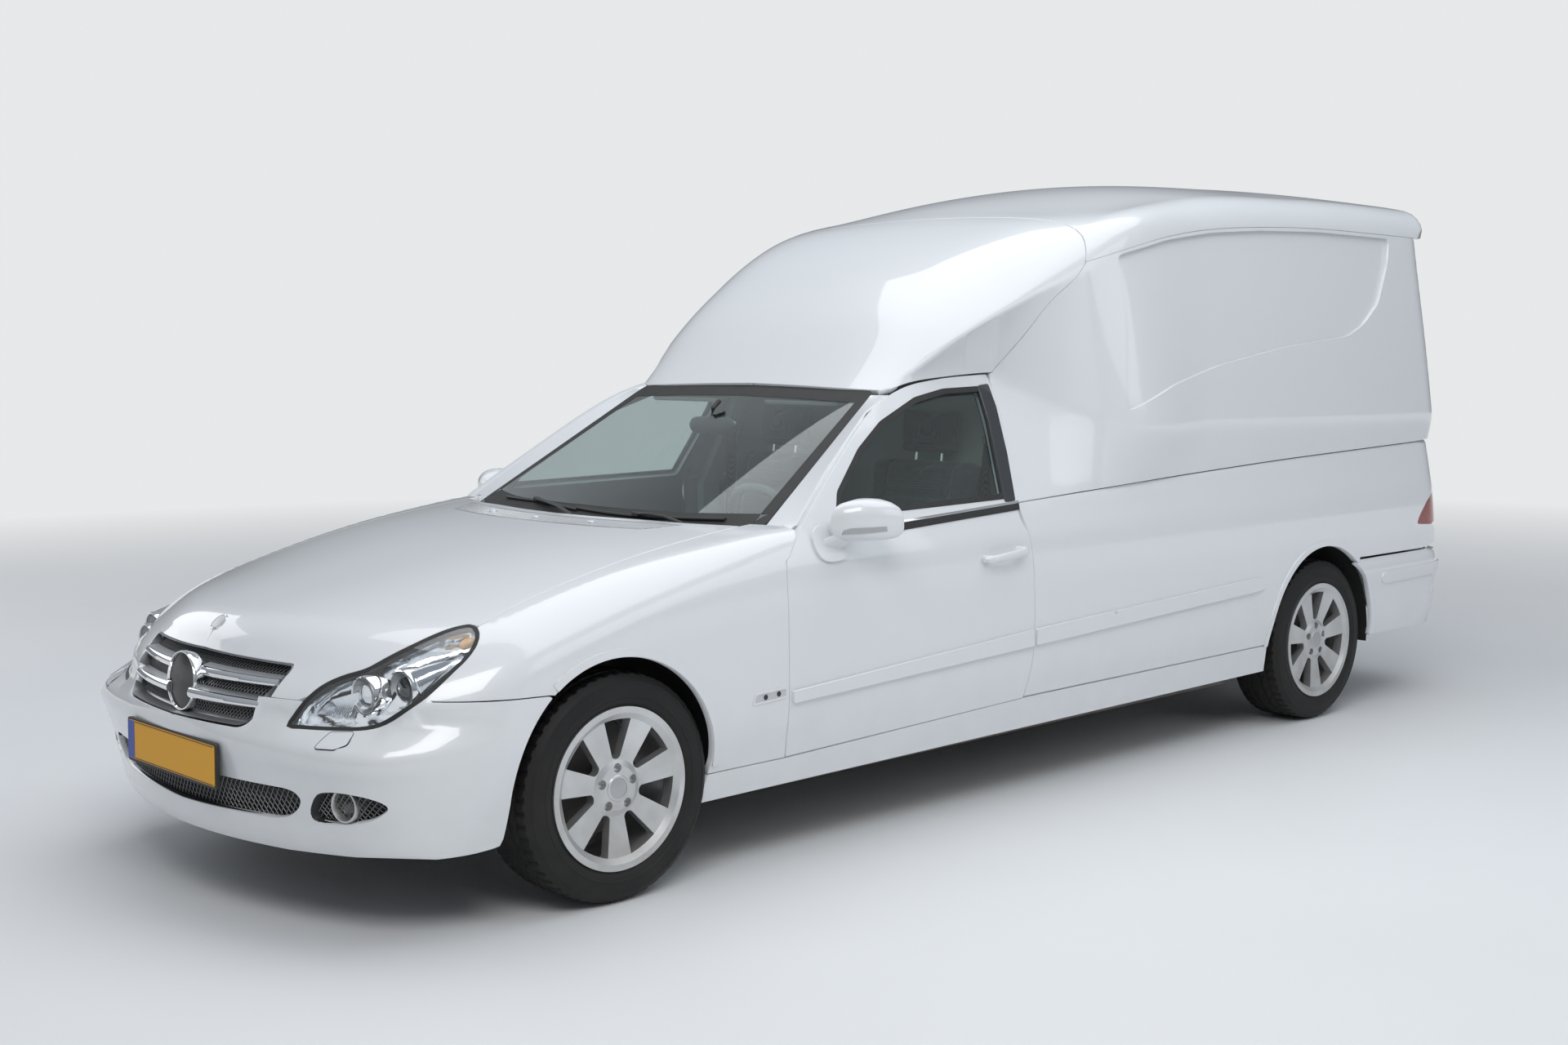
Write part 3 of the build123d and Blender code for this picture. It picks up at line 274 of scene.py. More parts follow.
VIEWS = {
    "side": ((0, 1, 0), (0, 0, 1), (-1, 0, 0), (1.2, 0, 0)),
    "front": ((1, 0, 0), (0, 0, 1), (0, 1, 0), (0, -1.2, 0)),
    "rear": ((1, 0, 0), (0, 0, 1), (0, -1, 0), (0, 5.2, 0)),
    "top": ((1, 0, 0), (0, 1, 0), (0, 0, -1), (0, 0, 2.6)),
    "lamp": ((0.7071, 0.7071, 0), (-0.3536, 0.3536, 0.8660), (-0.6124, 0.6124, -0.5), (1.05, -1.05, 0.857)),
}
REACH = {"side": 1.2, "front": 3.2, "rear": 2.0, "top": 2.0, "lamp": 1.2}
STEP = 0.022
HALVINGS = 44
ROW_SPACING = 0.866
CREASE_MARGIN = 0.008
RIM_OUT = 0.0012
RIM_IN = 0.0016


def curve(points, closed=False):
    """Points close together on a smooth curve through the given ones."""
    pts = np.array(points, float)
    n = len(pts)
    result = []
    for i in range(n if closed else n - 1):
        near = [(i + k) % n if closed else min(max(i + k, 0), n - 1) for k in (-1, 0, 1, 2)]
        a, b, c, d = pts[near]
        steps = max(2, int(np.linalg.norm(c - b) / STEP) + 1)
        for k in range(steps):
            t = k / steps
            result.append(
                0.5 * (2 * b + (c - a) * t + (2 * a - 5 * b + 4 * c - d) * t * t + (3 * b - a - 3 * c + d) * t ** 3)
            )
    if not closed:
        result.append(pts[-1])
    return [tuple(p) for p in result]


def line(points, closed=False):
    """Points close together on straight runs."""
    pts = [np.array(p, float) for p in points]
    if closed:
        pts.append(pts[0])
    result = []
    for a, b in zip(pts, pts[1:]):
        steps = max(1, int(np.linalg.norm(b - a) / STEP + 0.5))
        result += [tuple(a + (b - a) * k / steps) for k in range(steps)]
    if not closed:
        result.append(tuple(pts[-1]))
    return result


def round_corners(points, radius, closed=True):
    """A polygon whose corners are cut by short arcs."""
    pts = [np.array(p, float) for p in points]
    result = []
    for i, b in enumerate(pts):
        if not closed and i in (0, len(pts) - 1):
            result.append(tuple(b))
            continue
        a, c = pts[i - 1], pts[(i + 1) % len(pts)]
        r = min(radius, 0.45 * np.linalg.norm(a - b), 0.45 * np.linalg.norm(c - b))
        start, end = b + (a - b) / np.linalg.norm(a - b) * r, b + (c - b) / np.linalg.norm(c - b) * r
        for t in (0, 0.25, 0.5, 0.75, 1):
            result.append(tuple((1 - t) ** 2 * start + 2 * t * (1 - t) * b + t * t * end))
    return result


def grown(points, distance):
    """A closed outline moved outward by distance."""
    pts = np.array(points, float)
    ahead = np.roll(pts, -1, 0) - np.roll(pts, 1, 0)
    ahead /= np.linalg.norm(ahead, axis=1)[:, None] + 1e-9
    area = np.sum(pts[:, 0] * np.roll(pts[:, 1], -1) - np.roll(pts[:, 0], -1) * pts[:, 1])
    out = np.stack([ahead[:, 1], -ahead[:, 0]], 1) * np.sign(area)
    return [tuple(p) for p in pts + out * distance]


def meet(starts, direction, reach, field):
    """Where rays from starts meet the surface on which the field is 0."""
    near = np.zeros(len(starts))
    far = np.full(len(starts), reach) if np.isscalar(reach) else reach.copy()
    for _ in range(HALVINGS):
        middle = (near + far) / 2
        outside = field(starts + middle[:, None] * direction) > 0
        near = np.where(outside, middle, near)
        far = np.where(outside, far, middle)
    return starts + ((near + far) / 2)[:, None] * direction


def trace(view, points, field, out=0.0):
    """Lays an outline that is drawn in one view onto a surface, or onto one that lies out beyond it."""
    a, b, direction, origin = (np.array(v, float) for v in VIEWS[view])
    pts = np.array(points, float)
    starts = origin + pts[:, :1] * a + pts[:, 1:2] * b
    return meet(starts, direction, REACH[view], moved_out(field, out))


def slope(p, field):
    """The outward direction at points on a surface."""
    h = 1e-4
    grad = np.stack([field(p + h * e) - field(p - h * e) for e in np.eye(3)], 1)
    return grad / (np.linalg.norm(grad, axis=1)[:, None] + 1e-12)


def inside(points, loop):
    """Which of the points in a plane lie inside a closed loop."""
    x, y = points[:, 0], points[:, 1]
    a, b = loop, np.roll(loop, -1, 0)
    result = np.zeros(len(points), bool)
    for (x0, y0), (x1, y1) in zip(a, b):
        if y0 != y1:
            crosses = (y0 > y) != (y1 > y)
            result ^= crosses & (x < (x1 - x0) * (y - y0) / (y1 - y0) + x0)
    return result


def within(points, flat):
    """Which of the points lie inside the first loop and outside the others."""
    keep = inside(points, flat[0])
    for hole in flat[1:]:
        keep &= ~inside(points, hole)
    return keep


def clean_loop(p):
    """Drops points that repeat the one before."""
    keep = np.linalg.norm(p - np.roll(p, 1, 0), axis=1) > 1e-5
    return p[keep]


def skin_mesh(loops, direction, field, step, creases=()):
    """Vertices, faces, edge loops and normals of a skin inside 3-D loops that lie on the surface."""
    d = np.array(direction, float)
    d /= np.linalg.norm(d)
    u = np.cross([0, 0, 1], d) if abs(d[2]) < 0.9 else np.array([1.0, 0, 0])
    u /= np.linalg.norm(u)
    v = np.cross(d, u)
    loops = [clean_loop(loop) for loop in loops]
    flat = [np.stack([loop @ u, loop @ v], 1) for loop in loops]
    for k, loop in enumerate(flat):
        nxt = np.roll(loop, -1, 0)
        turn = np.sum(loop[:, 0] * nxt[:, 1] - nxt[:, 0] * loop[:, 1])
        if (turn > 0) == (k == 0):
            loops[k], flat[k] = loops[k][::-1], loop[::-1]
    low, high = flat[0].min(0), flat[0].max(0)
    nx, ny = (int(n) + 1 for n in (high - low) / step)
    grid = np.array([
        (low[0] + (i + 0.5 * (j % 2)) * step, low[1] + j * step * ROW_SPACING)
        for j in range(int(ny / ROW_SPACING) + 1) for i in range(nx + 1)
    ])
    grid = grid[within(grid, flat)]
    bends, bent = [], []
    for crease in creases:
        shadow = np.stack([crease @ u, crease @ v], 1)
        keep = within(shadow, flat)
        near = np.array([np.min(np.sum((np.concatenate(flat) - g) ** 2, 1)) for g in shadow])
        keep &= near > CREASE_MARGIN ** 2
        if keep.sum() > 1:
            first, last = np.flatnonzero(keep)[[0, -1]]
            bends.append(crease[first:last + 1])
            bent.append(shadow[first:last + 1])
    edge_points = np.concatenate(flat + bent)
    if len(grid):
        nearest = np.array([np.min(np.sum((edge_points - g) ** 2, 1)) for g in grid])
        grid = grid[nearest > (0.45 * step) ** 2]
    verts = [Vector(p) for p in edge_points] + [Vector(p) for p in grid]
    edges, first = [], 0
    for loop in flat:
        n = len(loop)
        edges += [(first + i, first + (i + 1) % n) for i in range(n)]
        first += n
    for row in bent:
        edges += [(first + i, first + i + 1) for i in range(len(row) - 1)]
        first += len(row)
    out_verts, _, faces, origin_ids, _, _ = delaunay_2d_cdt(verts, edges, [], 0, 1e-6)
    out = np.array([tuple(p) for p in out_verts])
    middles = np.array([out[list(f)].mean(0) for f in faces])
    faces = [tuple(f) for f, k in zip(faces, within(middles, flat)) if k]
    known = np.concatenate(loops + bends)
    starts = out[:, :1] * u + out[:, 1:2] * v
    base = np.array([known[:, k].mean() for k in range(3)]) @ d
    starts = starts + (base - SKIN_REACH) * d
    reach = np.full(len(out), 2 * SKIN_REACH)
    if d[0] < -1e-6:
        reach = np.minimum(reach, starts[:, 0] / -d[0])
    points = meet(starts, d, reach, field)
    for i, ids in enumerate(origin_ids):
        if ids and ids[0] < len(known):
            points[i] = known[ids[0]]
    return points, faces, loops, slope(points, field)


def beside(points, offsets):
    """Rows that run beside an open line, at the given distances from it."""
    pts = np.array(points, float)
    ahead = np.gradient(pts, axis=0)
    ahead /= np.linalg.norm(ahead, axis=1)[:, None]
    out = np.stack([-ahead[:, 1], ahead[:, 0]], 1)
    return [[tuple(p) for p in pts + out * d] for d in offsets]


def make_object(name, points, faces, normals=None, smooth=True):
    mesh = bpy.data.meshes.new(name)
    mesh.from_pydata([tuple(p) for p in points], [], faces)
    mesh.update()
    mesh.polygons.foreach_set("use_smooth", [smooth] * len(mesh.polygons))
    obj = bpy.data.objects.new(name, mesh)
    bpy.context.scene.collection.objects.link(obj)
    if normals is not None:
        mesh.normals_split_custom_set_from_vertices([tuple(n) for n in normals])
    return obj


def turned_rim(loop, surface, depth):
    """Three rows that turn in from the edge of a skin, and the direction in which each of them faces."""
    out = slope(loop, surface)
    away = np.cross(np.roll(loop, -1, 0) - np.roll(loop, 1, 0), out)
    away /= np.linalg.norm(away, axis=1)[:, None] + 1e-12
    rows = [loop, loop + away * RIM_OUT - out * RIM_IN, loop + away * RIM_OUT - out * depth]
    return rows, [turn / np.linalg.norm(turn, axis=1)[:, None] for turn in (out, out * 0.5 + away, away)]


def panel(name, finish, outline, direction, field, out=0.0, body="body", holes=(), step=0.05, depth=0.02, sides="both",
          back=None, middle=False, creases=(), replaces=None):
    """A skin with a turned-in rim, pressed onto a surface: one piece for both sides, or one piece for each name."""
    surface = moved_out(field, out)
    loops = [np.concatenate([trace(view, points, surface) for view, points in part]) for part in (outline, *holes)]
    rows = [trace(view, points, surface) for view, points in creases]
    points, faces, loops, normals = skin_mesh(loops, direction, surface, step, rows)
    for k, (a, b, c) in enumerate(face[:3] for face in faces):
        if np.dot(np.cross(points[b] - points[a], points[c] - points[a]), normals[a]) < 0:
            faces[k] = faces[k][::-1]
    all_points, all_faces, all_normals = [points], list(faces), [normals]
    count = len(points)
    for loop in loops:
        n = len(loop)
        rim, turns = turned_rim(loop, surface, depth)
        all_points += rim
        all_normals += turns
        on_middle = middle & (np.abs(loop[:, 0]) < 1e-4)
        for start in (count, count + n):
            for i in range(n):
                j = (i + 1) % n
                if not (on_middle[i] and on_middle[j]):
                    all_faces.append((start + i, start + n + i, start + n + j, start + j))
        count += 3 * n
    back_start = len(all_faces)
    if back:
        all_points.append(points - normals * depth)
        all_normals.append(-normals)
        all_faces += [tuple(count + i for i in reversed(face)) for face in faces]
    points, normals = np.concatenate(all_points), np.concatenate(all_normals)
    made = []
    for side in (1, -1) if sides == "both" else (1,):
        flip = np.array([side, 1.0, 1.0])
        made.append((points * flip, [face[::side] for face in all_faces], normals * flip))
    names = name if isinstance(name, tuple) else (name,)
    if len(made) > len(names):
        (points, faces, normals), (more, others, turned) = made
        faces = faces + [tuple(i + len(points) for i in face) for face in others]
        made = [(np.concatenate([points, more]), faces, np.concatenate([normals, turned]))]
    bodies, nodes = (x if isinstance(x, tuple) else (x,) * len(names) for x in (body, replaces))
    for label, (points, faces, normals), carrier, node in zip(names, made, bodies, nodes):
        obj = make_object(label, points + AXLE, faces, normals)
        obj.data.materials.append(M[finish])
        if back:
            obj.data.materials.append(M[back])
            for start in range(0, len(faces), len(all_faces)):
                for i in range(start + back_start, start + len(all_faces)):
                    obj.data.polygons[i].material_index = 1
        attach(obj, carrier)
        if node:
            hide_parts(node)


def patch(view, points, radius):
    """An outline of straight runs with rounded corners, drawn in one view."""
    return [(view, line(round_corners(points, radius), closed=True))]


# Effects shared by several materials

def shader_group(name, inputs, outputs):
    group = bpy.data.node_groups.new(name, "ShaderNodeTree")
    for label, kind, default in inputs:
        socket = group.interface.new_socket(name=label, in_out="INPUT", socket_type=kind)
        socket.default_value = default
    for label, kind in outputs:
        group.interface.new_socket(name=label, in_out="OUTPUT", socket_type=kind)
    return group, group.nodes.new("NodeGroupInput"), group.nodes.new("NodeGroupOutput")


def feed(tree, socket, value):
    """Links an output to a socket, or sets the socket to a value."""
    if hasattr(value, "is_output"):
        tree.links.new(value, socket)
    elif value is not None:
        socket.default_value = value


def math_node(tree, operation, *values):
    node = tree.nodes.new("ShaderNodeMath")
    node.operation = operation
    for socket, value in zip(node.inputs, values):
        feed(tree, socket, value)
    return node.outputs[0]


def clamped(tree, value):
    """A value held between 0 and 1."""
    return math_node(tree, "MINIMUM", math_node(tree, "MAXIMUM", value, 0.0), 1.0)


def node_output(tree, kind, output, **settings):
    """The named output of a new node."""
    node = tree.nodes.new(kind)
    for name, value in settings.items():
        setattr(node, name, value)
    return node.outputs[output]


def noise_node(tree, scale, detail=3.0, vector=None):
    node = tree.nodes.new("ShaderNodeTexNoise")
    feed(tree, node.inputs["Detail"], detail)
    feed(tree, node.inputs["Scale"], scale)
    feed(tree, node.inputs["Vector"], vector or node_output(tree, "ShaderNodeTexCoord", "Object"))
    return node.outputs["Fac"]


def mix_colour(tree, factor, a, b):
    node = tree.nodes.new("ShaderNodeMix")
    node.data_type = "RGBA"
    for i, value in ((0, factor), (6, a), (7, b)):
        feed(tree, node.inputs[i], value)
    return node.outputs[2]


def build_groups():
    """Road dust, moulded grain and woven cloth, each built once."""
    group, start, end = shader_group(
        "Road Dust",
        [("Colour", "NodeSocketColor", (0.8, 0.8, 0.8, 1)), ("Dust", "NodeSocketFloat", 0.1),
         ("Top", "NodeSocketFloat", 0.5), ("Roughness", "NodeSocketFloat", 0.3)],
        [("Colour", "NodeSocketColor"), ("Roughness", "NodeSocketFloat")],
    )
    place = group.nodes.new("ShaderNodeNewGeometry")
    split = group.nodes.new("ShaderNodeSeparateXYZ")
    group.links.new(place.outputs["Position"], split.inputs[0])
    height = math_node(group, "DIVIDE", split.outputs["Z"], start.outputs["Top"])
    low = math_node(group, "MAXIMUM", math_node(group, "SUBTRACT", 1.0, height), 0.0)
    specks = math_node(group, "MULTIPLY_ADD", noise_node(group, 9.0, 6.0, place.outputs["Position"]), 1.6, -0.2)
    mask = math_node(group, "MULTIPLY", math_node(group, "MULTIPLY", low, specks), start.outputs["Dust"])
    mask = clamped(group, mask)
    colour = mix_colour(group, mask, start.outputs["Colour"], (0.30, 0.27, 0.23, 1))
    group.links.new(colour, end.inputs["Colour"])
    rough = math_node(group, "MULTIPLY_ADD", mask, 0.5, start.outputs["Roughness"])
    group.links.new(math_node(group, "MINIMUM", rough, 1.0), end.inputs["Roughness"])

    group, start, end = shader_group(
        "Moulded Grain",
        [
            ("Scale", "NodeSocketFloat", 900.0), ("Shade", "NodeSocketFloat", 0.1),
            ("Colour", "NodeSocketColor", (0.1, 0.1, 0.1, 1)),
        ],
        [("Height", "NodeSocketFloat"), ("Colour", "NodeSocketColor")],
    )
    place = group.nodes.new("ShaderNodeTexCoord")
    cells = group.nodes.new("ShaderNodeTexVoronoi")
    group.links.new(place.outputs["Object"], cells.inputs["Vector"])
    group.links.new(start.outputs["Scale"], cells.inputs["Scale"])
    group.links.new(cells.outputs["Distance"], end.inputs["Height"])
    cloud = noise_node(group, 14.0, 5.0)
    tone = math_node(group, "MULTIPLY", cloud, start.outputs["Shade"])
    group.links.new(mix_colour(group, tone, start.outputs["Colour"], (0.5, 0.5, 0.5, 1)), end.inputs["Colour"])

    group, start, end = shader_group(
        "Woven Cloth",
        [("Scale", "NodeSocketFloat", 420.0), ("Colour", "NodeSocketColor", (0.1, 0.1, 0.1, 1)),
         ("Thread", "NodeSocketColor", (0.2, 0.2, 0.2, 1))],
        [("Height", "NodeSocketFloat"), ("Colour", "NodeSocketColor")],
    )
    place = group.nodes.new("ShaderNodeTexCoord")
    heights = []
    for axis in "XY":
        wave = group.nodes.new("ShaderNodeTexWave")
        wave.bands_direction = axis
        wave.inputs["Distortion"].default_value = 0.4
        group.links.new(place.outputs["Object"], wave.inputs["Vector"])
        group.links.new(start.outputs["Scale"], wave.inputs["Scale"])
        heights.append(wave.outputs["Fac"])
    thread = math_node(group, "MULTIPLY", heights[0], heights[1])
    fuzz = noise_node(group, 220.0, 4.0)
    group.links.new(math_node(group, "MULTIPLY_ADD", fuzz, 0.4, thread), end.inputs["Height"])
    group.links.new(mix_colour(group, thread, start.outputs["Colour"], start.outputs["Thread"]), end.inputs["Colour"])


def dust(amount, top):
    """Road dust that thins out up to a height."""
    return "Road Dust", {"Dust": amount, "Top": top}


def grain(scale, shade):
    return "Moulded Grain", {"Scale": scale, "Shade": shade}


def woven(scale, thread=(0.2, 0.2, 0.2, 1)):
    return "Woven Cloth", {"Scale": scale, "Thread": thread}


def material(name, colour, roughness, effect=None, bump=0.0, distance=0.0005, **sockets):
    """A node material: one shared effect feeds colour, roughness and bump, constants sit on the shader."""
    mat = bpy.data.materials.new(name)
    mat.use_nodes = True
    tree = mat.node_tree
    shader = tree.nodes["Principled BSDF"]
    shader.inputs["Base Color"].default_value = (*colour, 1)
    shader.inputs["Roughness"].default_value = roughness
    for label, value in sockets.items():
        shader.inputs[label.replace("_", " ").title().replace("Ior", "IOR")].default_value = value
    if effect:
        group, values = effect
        node = tree.nodes.new("ShaderNodeGroup")
        node.node_tree = bpy.data.node_groups[group]
        if "Colour" in node.inputs:
            node.inputs["Colour"].default_value = (*colour, 1)
        if "Roughness" in node.inputs:
            node.inputs["Roughness"].default_value = roughness
        for label, value in values.items():
            node.inputs[label].default_value = value
        tree.links.new(node.outputs["Colour"], shader.inputs["Base Color"])
        if "Roughness" in node.outputs:
            tree.links.new(node.outputs["Roughness"], shader.inputs["Roughness"])
        if bump and "Height" in node.outputs:
            lift = tree.nodes.new("ShaderNodeBump")
            lift.inputs["Strength"].default_value = bump
            lift.inputs["Distance"].default_value = distance
            tree.links.new(node.outputs["Height"], lift.inputs["Height"])
            tree.links.new(lift.outputs[0], shader.inputs["Normal"])
    return mat


def clear_material(name, colour, tint):
    """Glass that lets the light on what lies behind it pass straight through."""
    mat = material(name, colour, 0.0, transmission_weight=1.0, ior=1.45)
    tree = mat.node_tree
    path = tree.nodes.new("ShaderNodeLightPath")
    passing = math_node(tree, "MAXIMUM", path.outputs["Is Shadow Ray"], path.outputs["Is Diffuse Ray"])
    through = tree.nodes.new("ShaderNodeBsdfTransparent")
    through.inputs[0].default_value = (*tint, 1)
    mix = tree.nodes.new("ShaderNodeMixShader")
    tree.links.new(passing, mix.inputs[0])
    tree.links.new(tree.nodes["Principled BSDF"].outputs[0], mix.inputs[1])
    tree.links.new(through.outputs[0], mix.inputs[2])
    tree.links.new(mix.outputs[0], tree.nodes["Material Output"].inputs[0])
    smear = noise_node(tree, 3.0, 4.0)
    tree.links.new(math_node(tree, "MULTIPLY", smear, 0.02), tree.nodes["Principled BSDF"].inputs["Roughness"])
    return mat


def build_materials():
    """Every finish on the car, by the name its pieces use."""
    build_groups()
    look = bpy.context.scene.hearse_colours
    paint = tuple(look.paint)
    return {
        "paint": material("White Paint", paint, 0.28, dust(0.16, 0.75), coat_weight=1.0, coat_roughness=0.04),
        # A darker, rougher copy of the white paint: painted shade for the inner faces of the hood and the tailgate and
        # for the wing badge recesses.
        "paint_in_shaded": material("Shaded White Paint Inside", tuple(0.8 * c for c in paint), 0.5, dust(0.3, 1.2)),
        "glass": clear_material("Tinted Window Glass", (0.62, 0.7, 0.69), (0.78, 0.84, 0.83)),
        "lens": clear_material("Clear Lamp Cover", (0.98, 0.99, 1.0), (0.93, 0.95, 0.97)),
        "reflector": material(
            "Bright Reflector", (0.84, 0.87, 0.9), 0.12, grain(60.0, 0.1), 0.25, 0.002, metallic=1.0,
        ),
        "gloss": material("Black Badge Face", (0.01, 0.011, 0.012), 0.12, grain(60.0, 0.02), 0.02, 0.0002),
        "chrome": material("Bright Chrome", (0.86, 0.87, 0.88), 0.05, dust(0.1, 0.6), metallic=1.0),
        "satin": material(
            "Satin Grey Trim", (0.46, 0.47, 0.48), 0.34, grain(1500.0, 0.12), 0.1, 0.0002, metallic=0.7,
        ),
        "alloy": material(
            "Silver Wheel Paint", (0.72, 0.73, 0.74), 0.26, dust(0.7, 0.9), metallic=0.85, coat_weight=0.5,
            coat_roughness=0.1,
        ),
        "black": material("Black Moulded Plastic", (0.018, 0.018, 0.019), 0.5, grain(1300.0, 0.05), 0.35, 0.0004),
        "rubber": material("Black Seal Rubber", (0.012, 0.012, 0.012), 0.62, grain(700.0, 0.04), 0.2, 0.0004),
        "mesh": material("Dark Grille Mesh", (0.2, 0.205, 0.21), 0.34, dust(0.4, 0.8), metallic=0.4),
        "tyre": material("Tyre Rubber", (0.009, 0.009, 0.0095), 0.6, dust(0.06, 1.0), specular_ior_level=0.3),
        "red": material(
            "Red Lamp Lens", (0.26, 0.002, 0.003), 0.14, grain(160.0, 0.03), 0.4, 0.001, transmission_weight=0.2,
            coat_weight=0.6,
        ),
        "amber": material("Amber Bulb", (0.72, 0.4, 0.14), 0.2, grain(90.0, 0.02), 0.2, 0.001),
        "grey_plastic": material("Grey Cabin Plastic", (0.1, 0.105, 0.11), 0.55, grain(1100.0, 0.06), 0.4, 0.0005),
        "pale_plastic": material("Pale Cabin Lining", (0.42, 0.42, 0.4), 0.7, grain(800.0, 0.08), 0.3, 0.0005),
        "cloth": material(
            "Seat Cloth", tuple(look.seats), 0.92, woven(160.0, (*(1.9 * c for c in look.seats), 1)), 0.5, 0.0008,
            sheen_weight=0.35,
        ),
        "belt": material("Belt Webbing", (0.02, 0.02, 0.021), 0.8, woven(500.0), 0.3, 0.0003),
        "steel": material("Painted Underbody Steel", (0.06, 0.06, 0.062), 0.6, dust(0.8, 1.3), metallic=0.3),
        "iron": material("Cast Iron", (0.13, 0.12, 0.11), 0.62, grain(300.0, 0.2), 0.5, 0.001, metallic=0.6),
        "exhaust": material("Exhaust Steel", (0.3, 0.27, 0.24), 0.45, grain(120.0, 0.3), 0.2, 0.0006, metallic=0.9),
        "board": material(
            "Varnished Deck Board", (0.3, 0.17, 0.085), 0.36, grain(30.0, 0.15), 0.1, 0.0005, coat_weight=0.3,
        ),
        "plate": material("Plate Face", tuple(look.plate), 0.42, dust(0.1, 0.9), specular_ior_level=0.3),
        "plate_band": material("Plate Band", (0.012, 0.05, 0.36), 0.34, dust(0.25, 0.9)),
        "dark_glass": material("Dark Lamp Glass", (0.02, 0.022, 0.025), 0.06, dust(0.1, 0.6), coat_weight=1.0),
        "mirror": material("Mirror Glass", (0.75, 0.78, 0.8), 0.02, dust(0.02, 0.6), metallic=1.0),
    }


M = {}
# The finish of each solid that isn't a tyre or a rim
NODE_FINISH = {
    name: finish
    for finish, names in {
        "paint": (
            "hood", "wings", "front_bumper", "sills", "roof_fairing", "box_roof", "box_sides", "quarters",
            "rear_bumper", "tailgate", "door_left", "door_right", "mirror_left", "mirror_right", "cab_frame",
        ),
        "glass": ("windscreen", "tailgate_glass", "door_glass_left", "door_glass_right"),
        "reflector": ("head_lamps",), "dark_glass": ("fog_lamps",), "red": ("tail_lamps",), "mesh": ("grilles",),
        "black": ("cowl_panel", "wipers"), "steel": ("bulkhead", "floor_pan", "fuel_tank"),
        "grey_plastic": ("dashboard", "steering_wheel", "seat_bases"), "pale_plastic": ("partition",),
        "cloth": ("seat_cushions", "seat_backs", "head_rests"), "board": ("load_deck",),
        "iron": ("front_axle", "rear_axle", "knuckle_left", "knuckle_right", "engine_block"), "exhaust": ("exhaust",),
    }.items() for name in names
}


# Small forms

def cross_frame(axis):
    """An axis and two directions square to it."""
    a = unit(axis)
    u = unit(np.cross(a, [0, 0, 1.0] if abs(a[2]) < 0.9 else [0, 1.0, 0]))
    return a, u, np.cross(a, u)


class Form:
    """Gathers the parts of one piece, each with its own finish, counted from the front axle."""

    def __init__(self, name, body="body"):
        self.name, self.body = name, body
        self.points, self.faces, self.finishes, self.used = [], [], [], []

    def add(self, points, faces, finish):
        start = len(self.points)
        self.points += [tuple(p) for p in points]
        self.faces += [tuple(start + i for i in face) for face in faces]
        if finish not in self.used:
            self.used.append(finish)
        self.finishes += [self.used.index(finish)] * len(faces)
        return self

    def rings(self, rings, finish, closed=True, caps=False, joined=False):
        """A skin over rows of points; each row is closed or open, and the rows may join end to end."""
        n = len(rings[0])
        faces = []
        rows = len(rings) if joined else len(rings) - 1
        for k in range(rows):
            a, b = k * n, (k + 1) % len(rings) * n
            for i in range(n if closed else n - 1):
                j = (i + 1) % n
                faces.append((a + i, a + j, b + j, b + i))
        if caps:
            faces.append(tuple(range(n))[::-1])
            faces.append(tuple((len(rings) - 1) * n + i for i in range(n)))
        return self.add(np.concatenate([np.array(ring, float) for ring in rings]), faces, finish)

    def lathe(self, place, axis, profile, finish, steps=40, caps=False, joined=False):
        """Turns a profile of radius and distance along the axis."""
        a, u, v = cross_frame(axis)
        rings = [[np.array(place) + a * t + (u * cos(w) + v * sin(w)) * r for w in around(steps)] for r, t in profile]
        return self.rings(rings, finish, caps=caps, joined=joined)

    def tube(self, path, radius, finish, sides=8, caps=True, flat=1.0):
        """A round or flattened bar along a path."""
        pts = np.array(path, float)
        ahead = np.gradient(pts, axis=0)
        rings = []
        for p, d in zip(pts, ahead):
            _, u, v = cross_frame(d)
            rings.append([p + radius * (u * cos(w) + v * sin(w) * flat) for w in around(sides)])
        return self.rings(rings, finish, caps=caps)

    def slab(self, outline, normal, depth, finish, edge=0.002):
        """A flat plate with a rounded edge: outline in 3-D, front towards its normal."""
        pts, n = np.array(outline, float), unit(normal)
        middle = pts.mean(0)
        size = np.linalg.norm(pts - middle, axis=1).mean()
        small = middle + (pts - middle) * (1 - edge / size)
        rings = [small - n * depth, pts - n * (depth - edge), pts - n * edge, small]
        return self.rings(rings, finish, caps=True)

    def box(self, low, high, finish, edge=0.004):
        """A block with bevelled edges."""
        (x0, y0, z0), (x1, y1, z1) = low, high
        e = edge
        rings = []
        for z, inset in ((z0, e), (z0 + e, 0), (z1 - e, 0), (z1, e)):
            a, b, c, d = x0 + inset, x1 - inset, y0 + inset, y1 - inset
            rings.append(
                [
                    (a + e, c, z), (b - e, c, z), (b, c + e, z), (b, d - e, z), (b - e, d, z), (a + e, d, z),
                    (a, d - e, z), (a, c + e, z),
                ]
            )
        return self.rings(rings, finish, caps=True)

    def mirrored(self):
        """Repeats everything so far on the car's right."""
        n, m = len(self.points), len(self.faces)
        self.points += [(-x, y, z) for x, y, z in self.points]
        self.faces += [tuple(n + i for i in reversed(face)) for face in self.faces[:m]]
        self.finishes += self.finishes[:m]
        return self

    def done(self, replaces=(), sharp=32, slot=None):
        points = np.array(self.points) + AXLE
        obj = make_object(self.name, points, self.faces)
        for finish in self.used:
            obj.data.materials.append(M[finish])
        obj.data.polygons.foreach_set("material_index", self.finishes)
        tidy = bmesh.new()
        tidy.from_mesh(obj.data)
        bmesh.ops.recalc_face_normals(tidy, faces=tidy.faces)
        tidy.to_mesh(obj.data)
        tidy.free()
        obj.data.set_sharp_from_angle(angle=radians(sharp))
        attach(obj, self.body)
        if replaces:
            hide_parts(*replaces)
        return obj


def surface_point(view, point, field, out=0.0):
    """The point that a view's ray meets on a surface, and the direction square to it."""
    p = trace(view, [point], field)
    n = slope(p, field)
    return p[0] + n[0] * out, n[0]


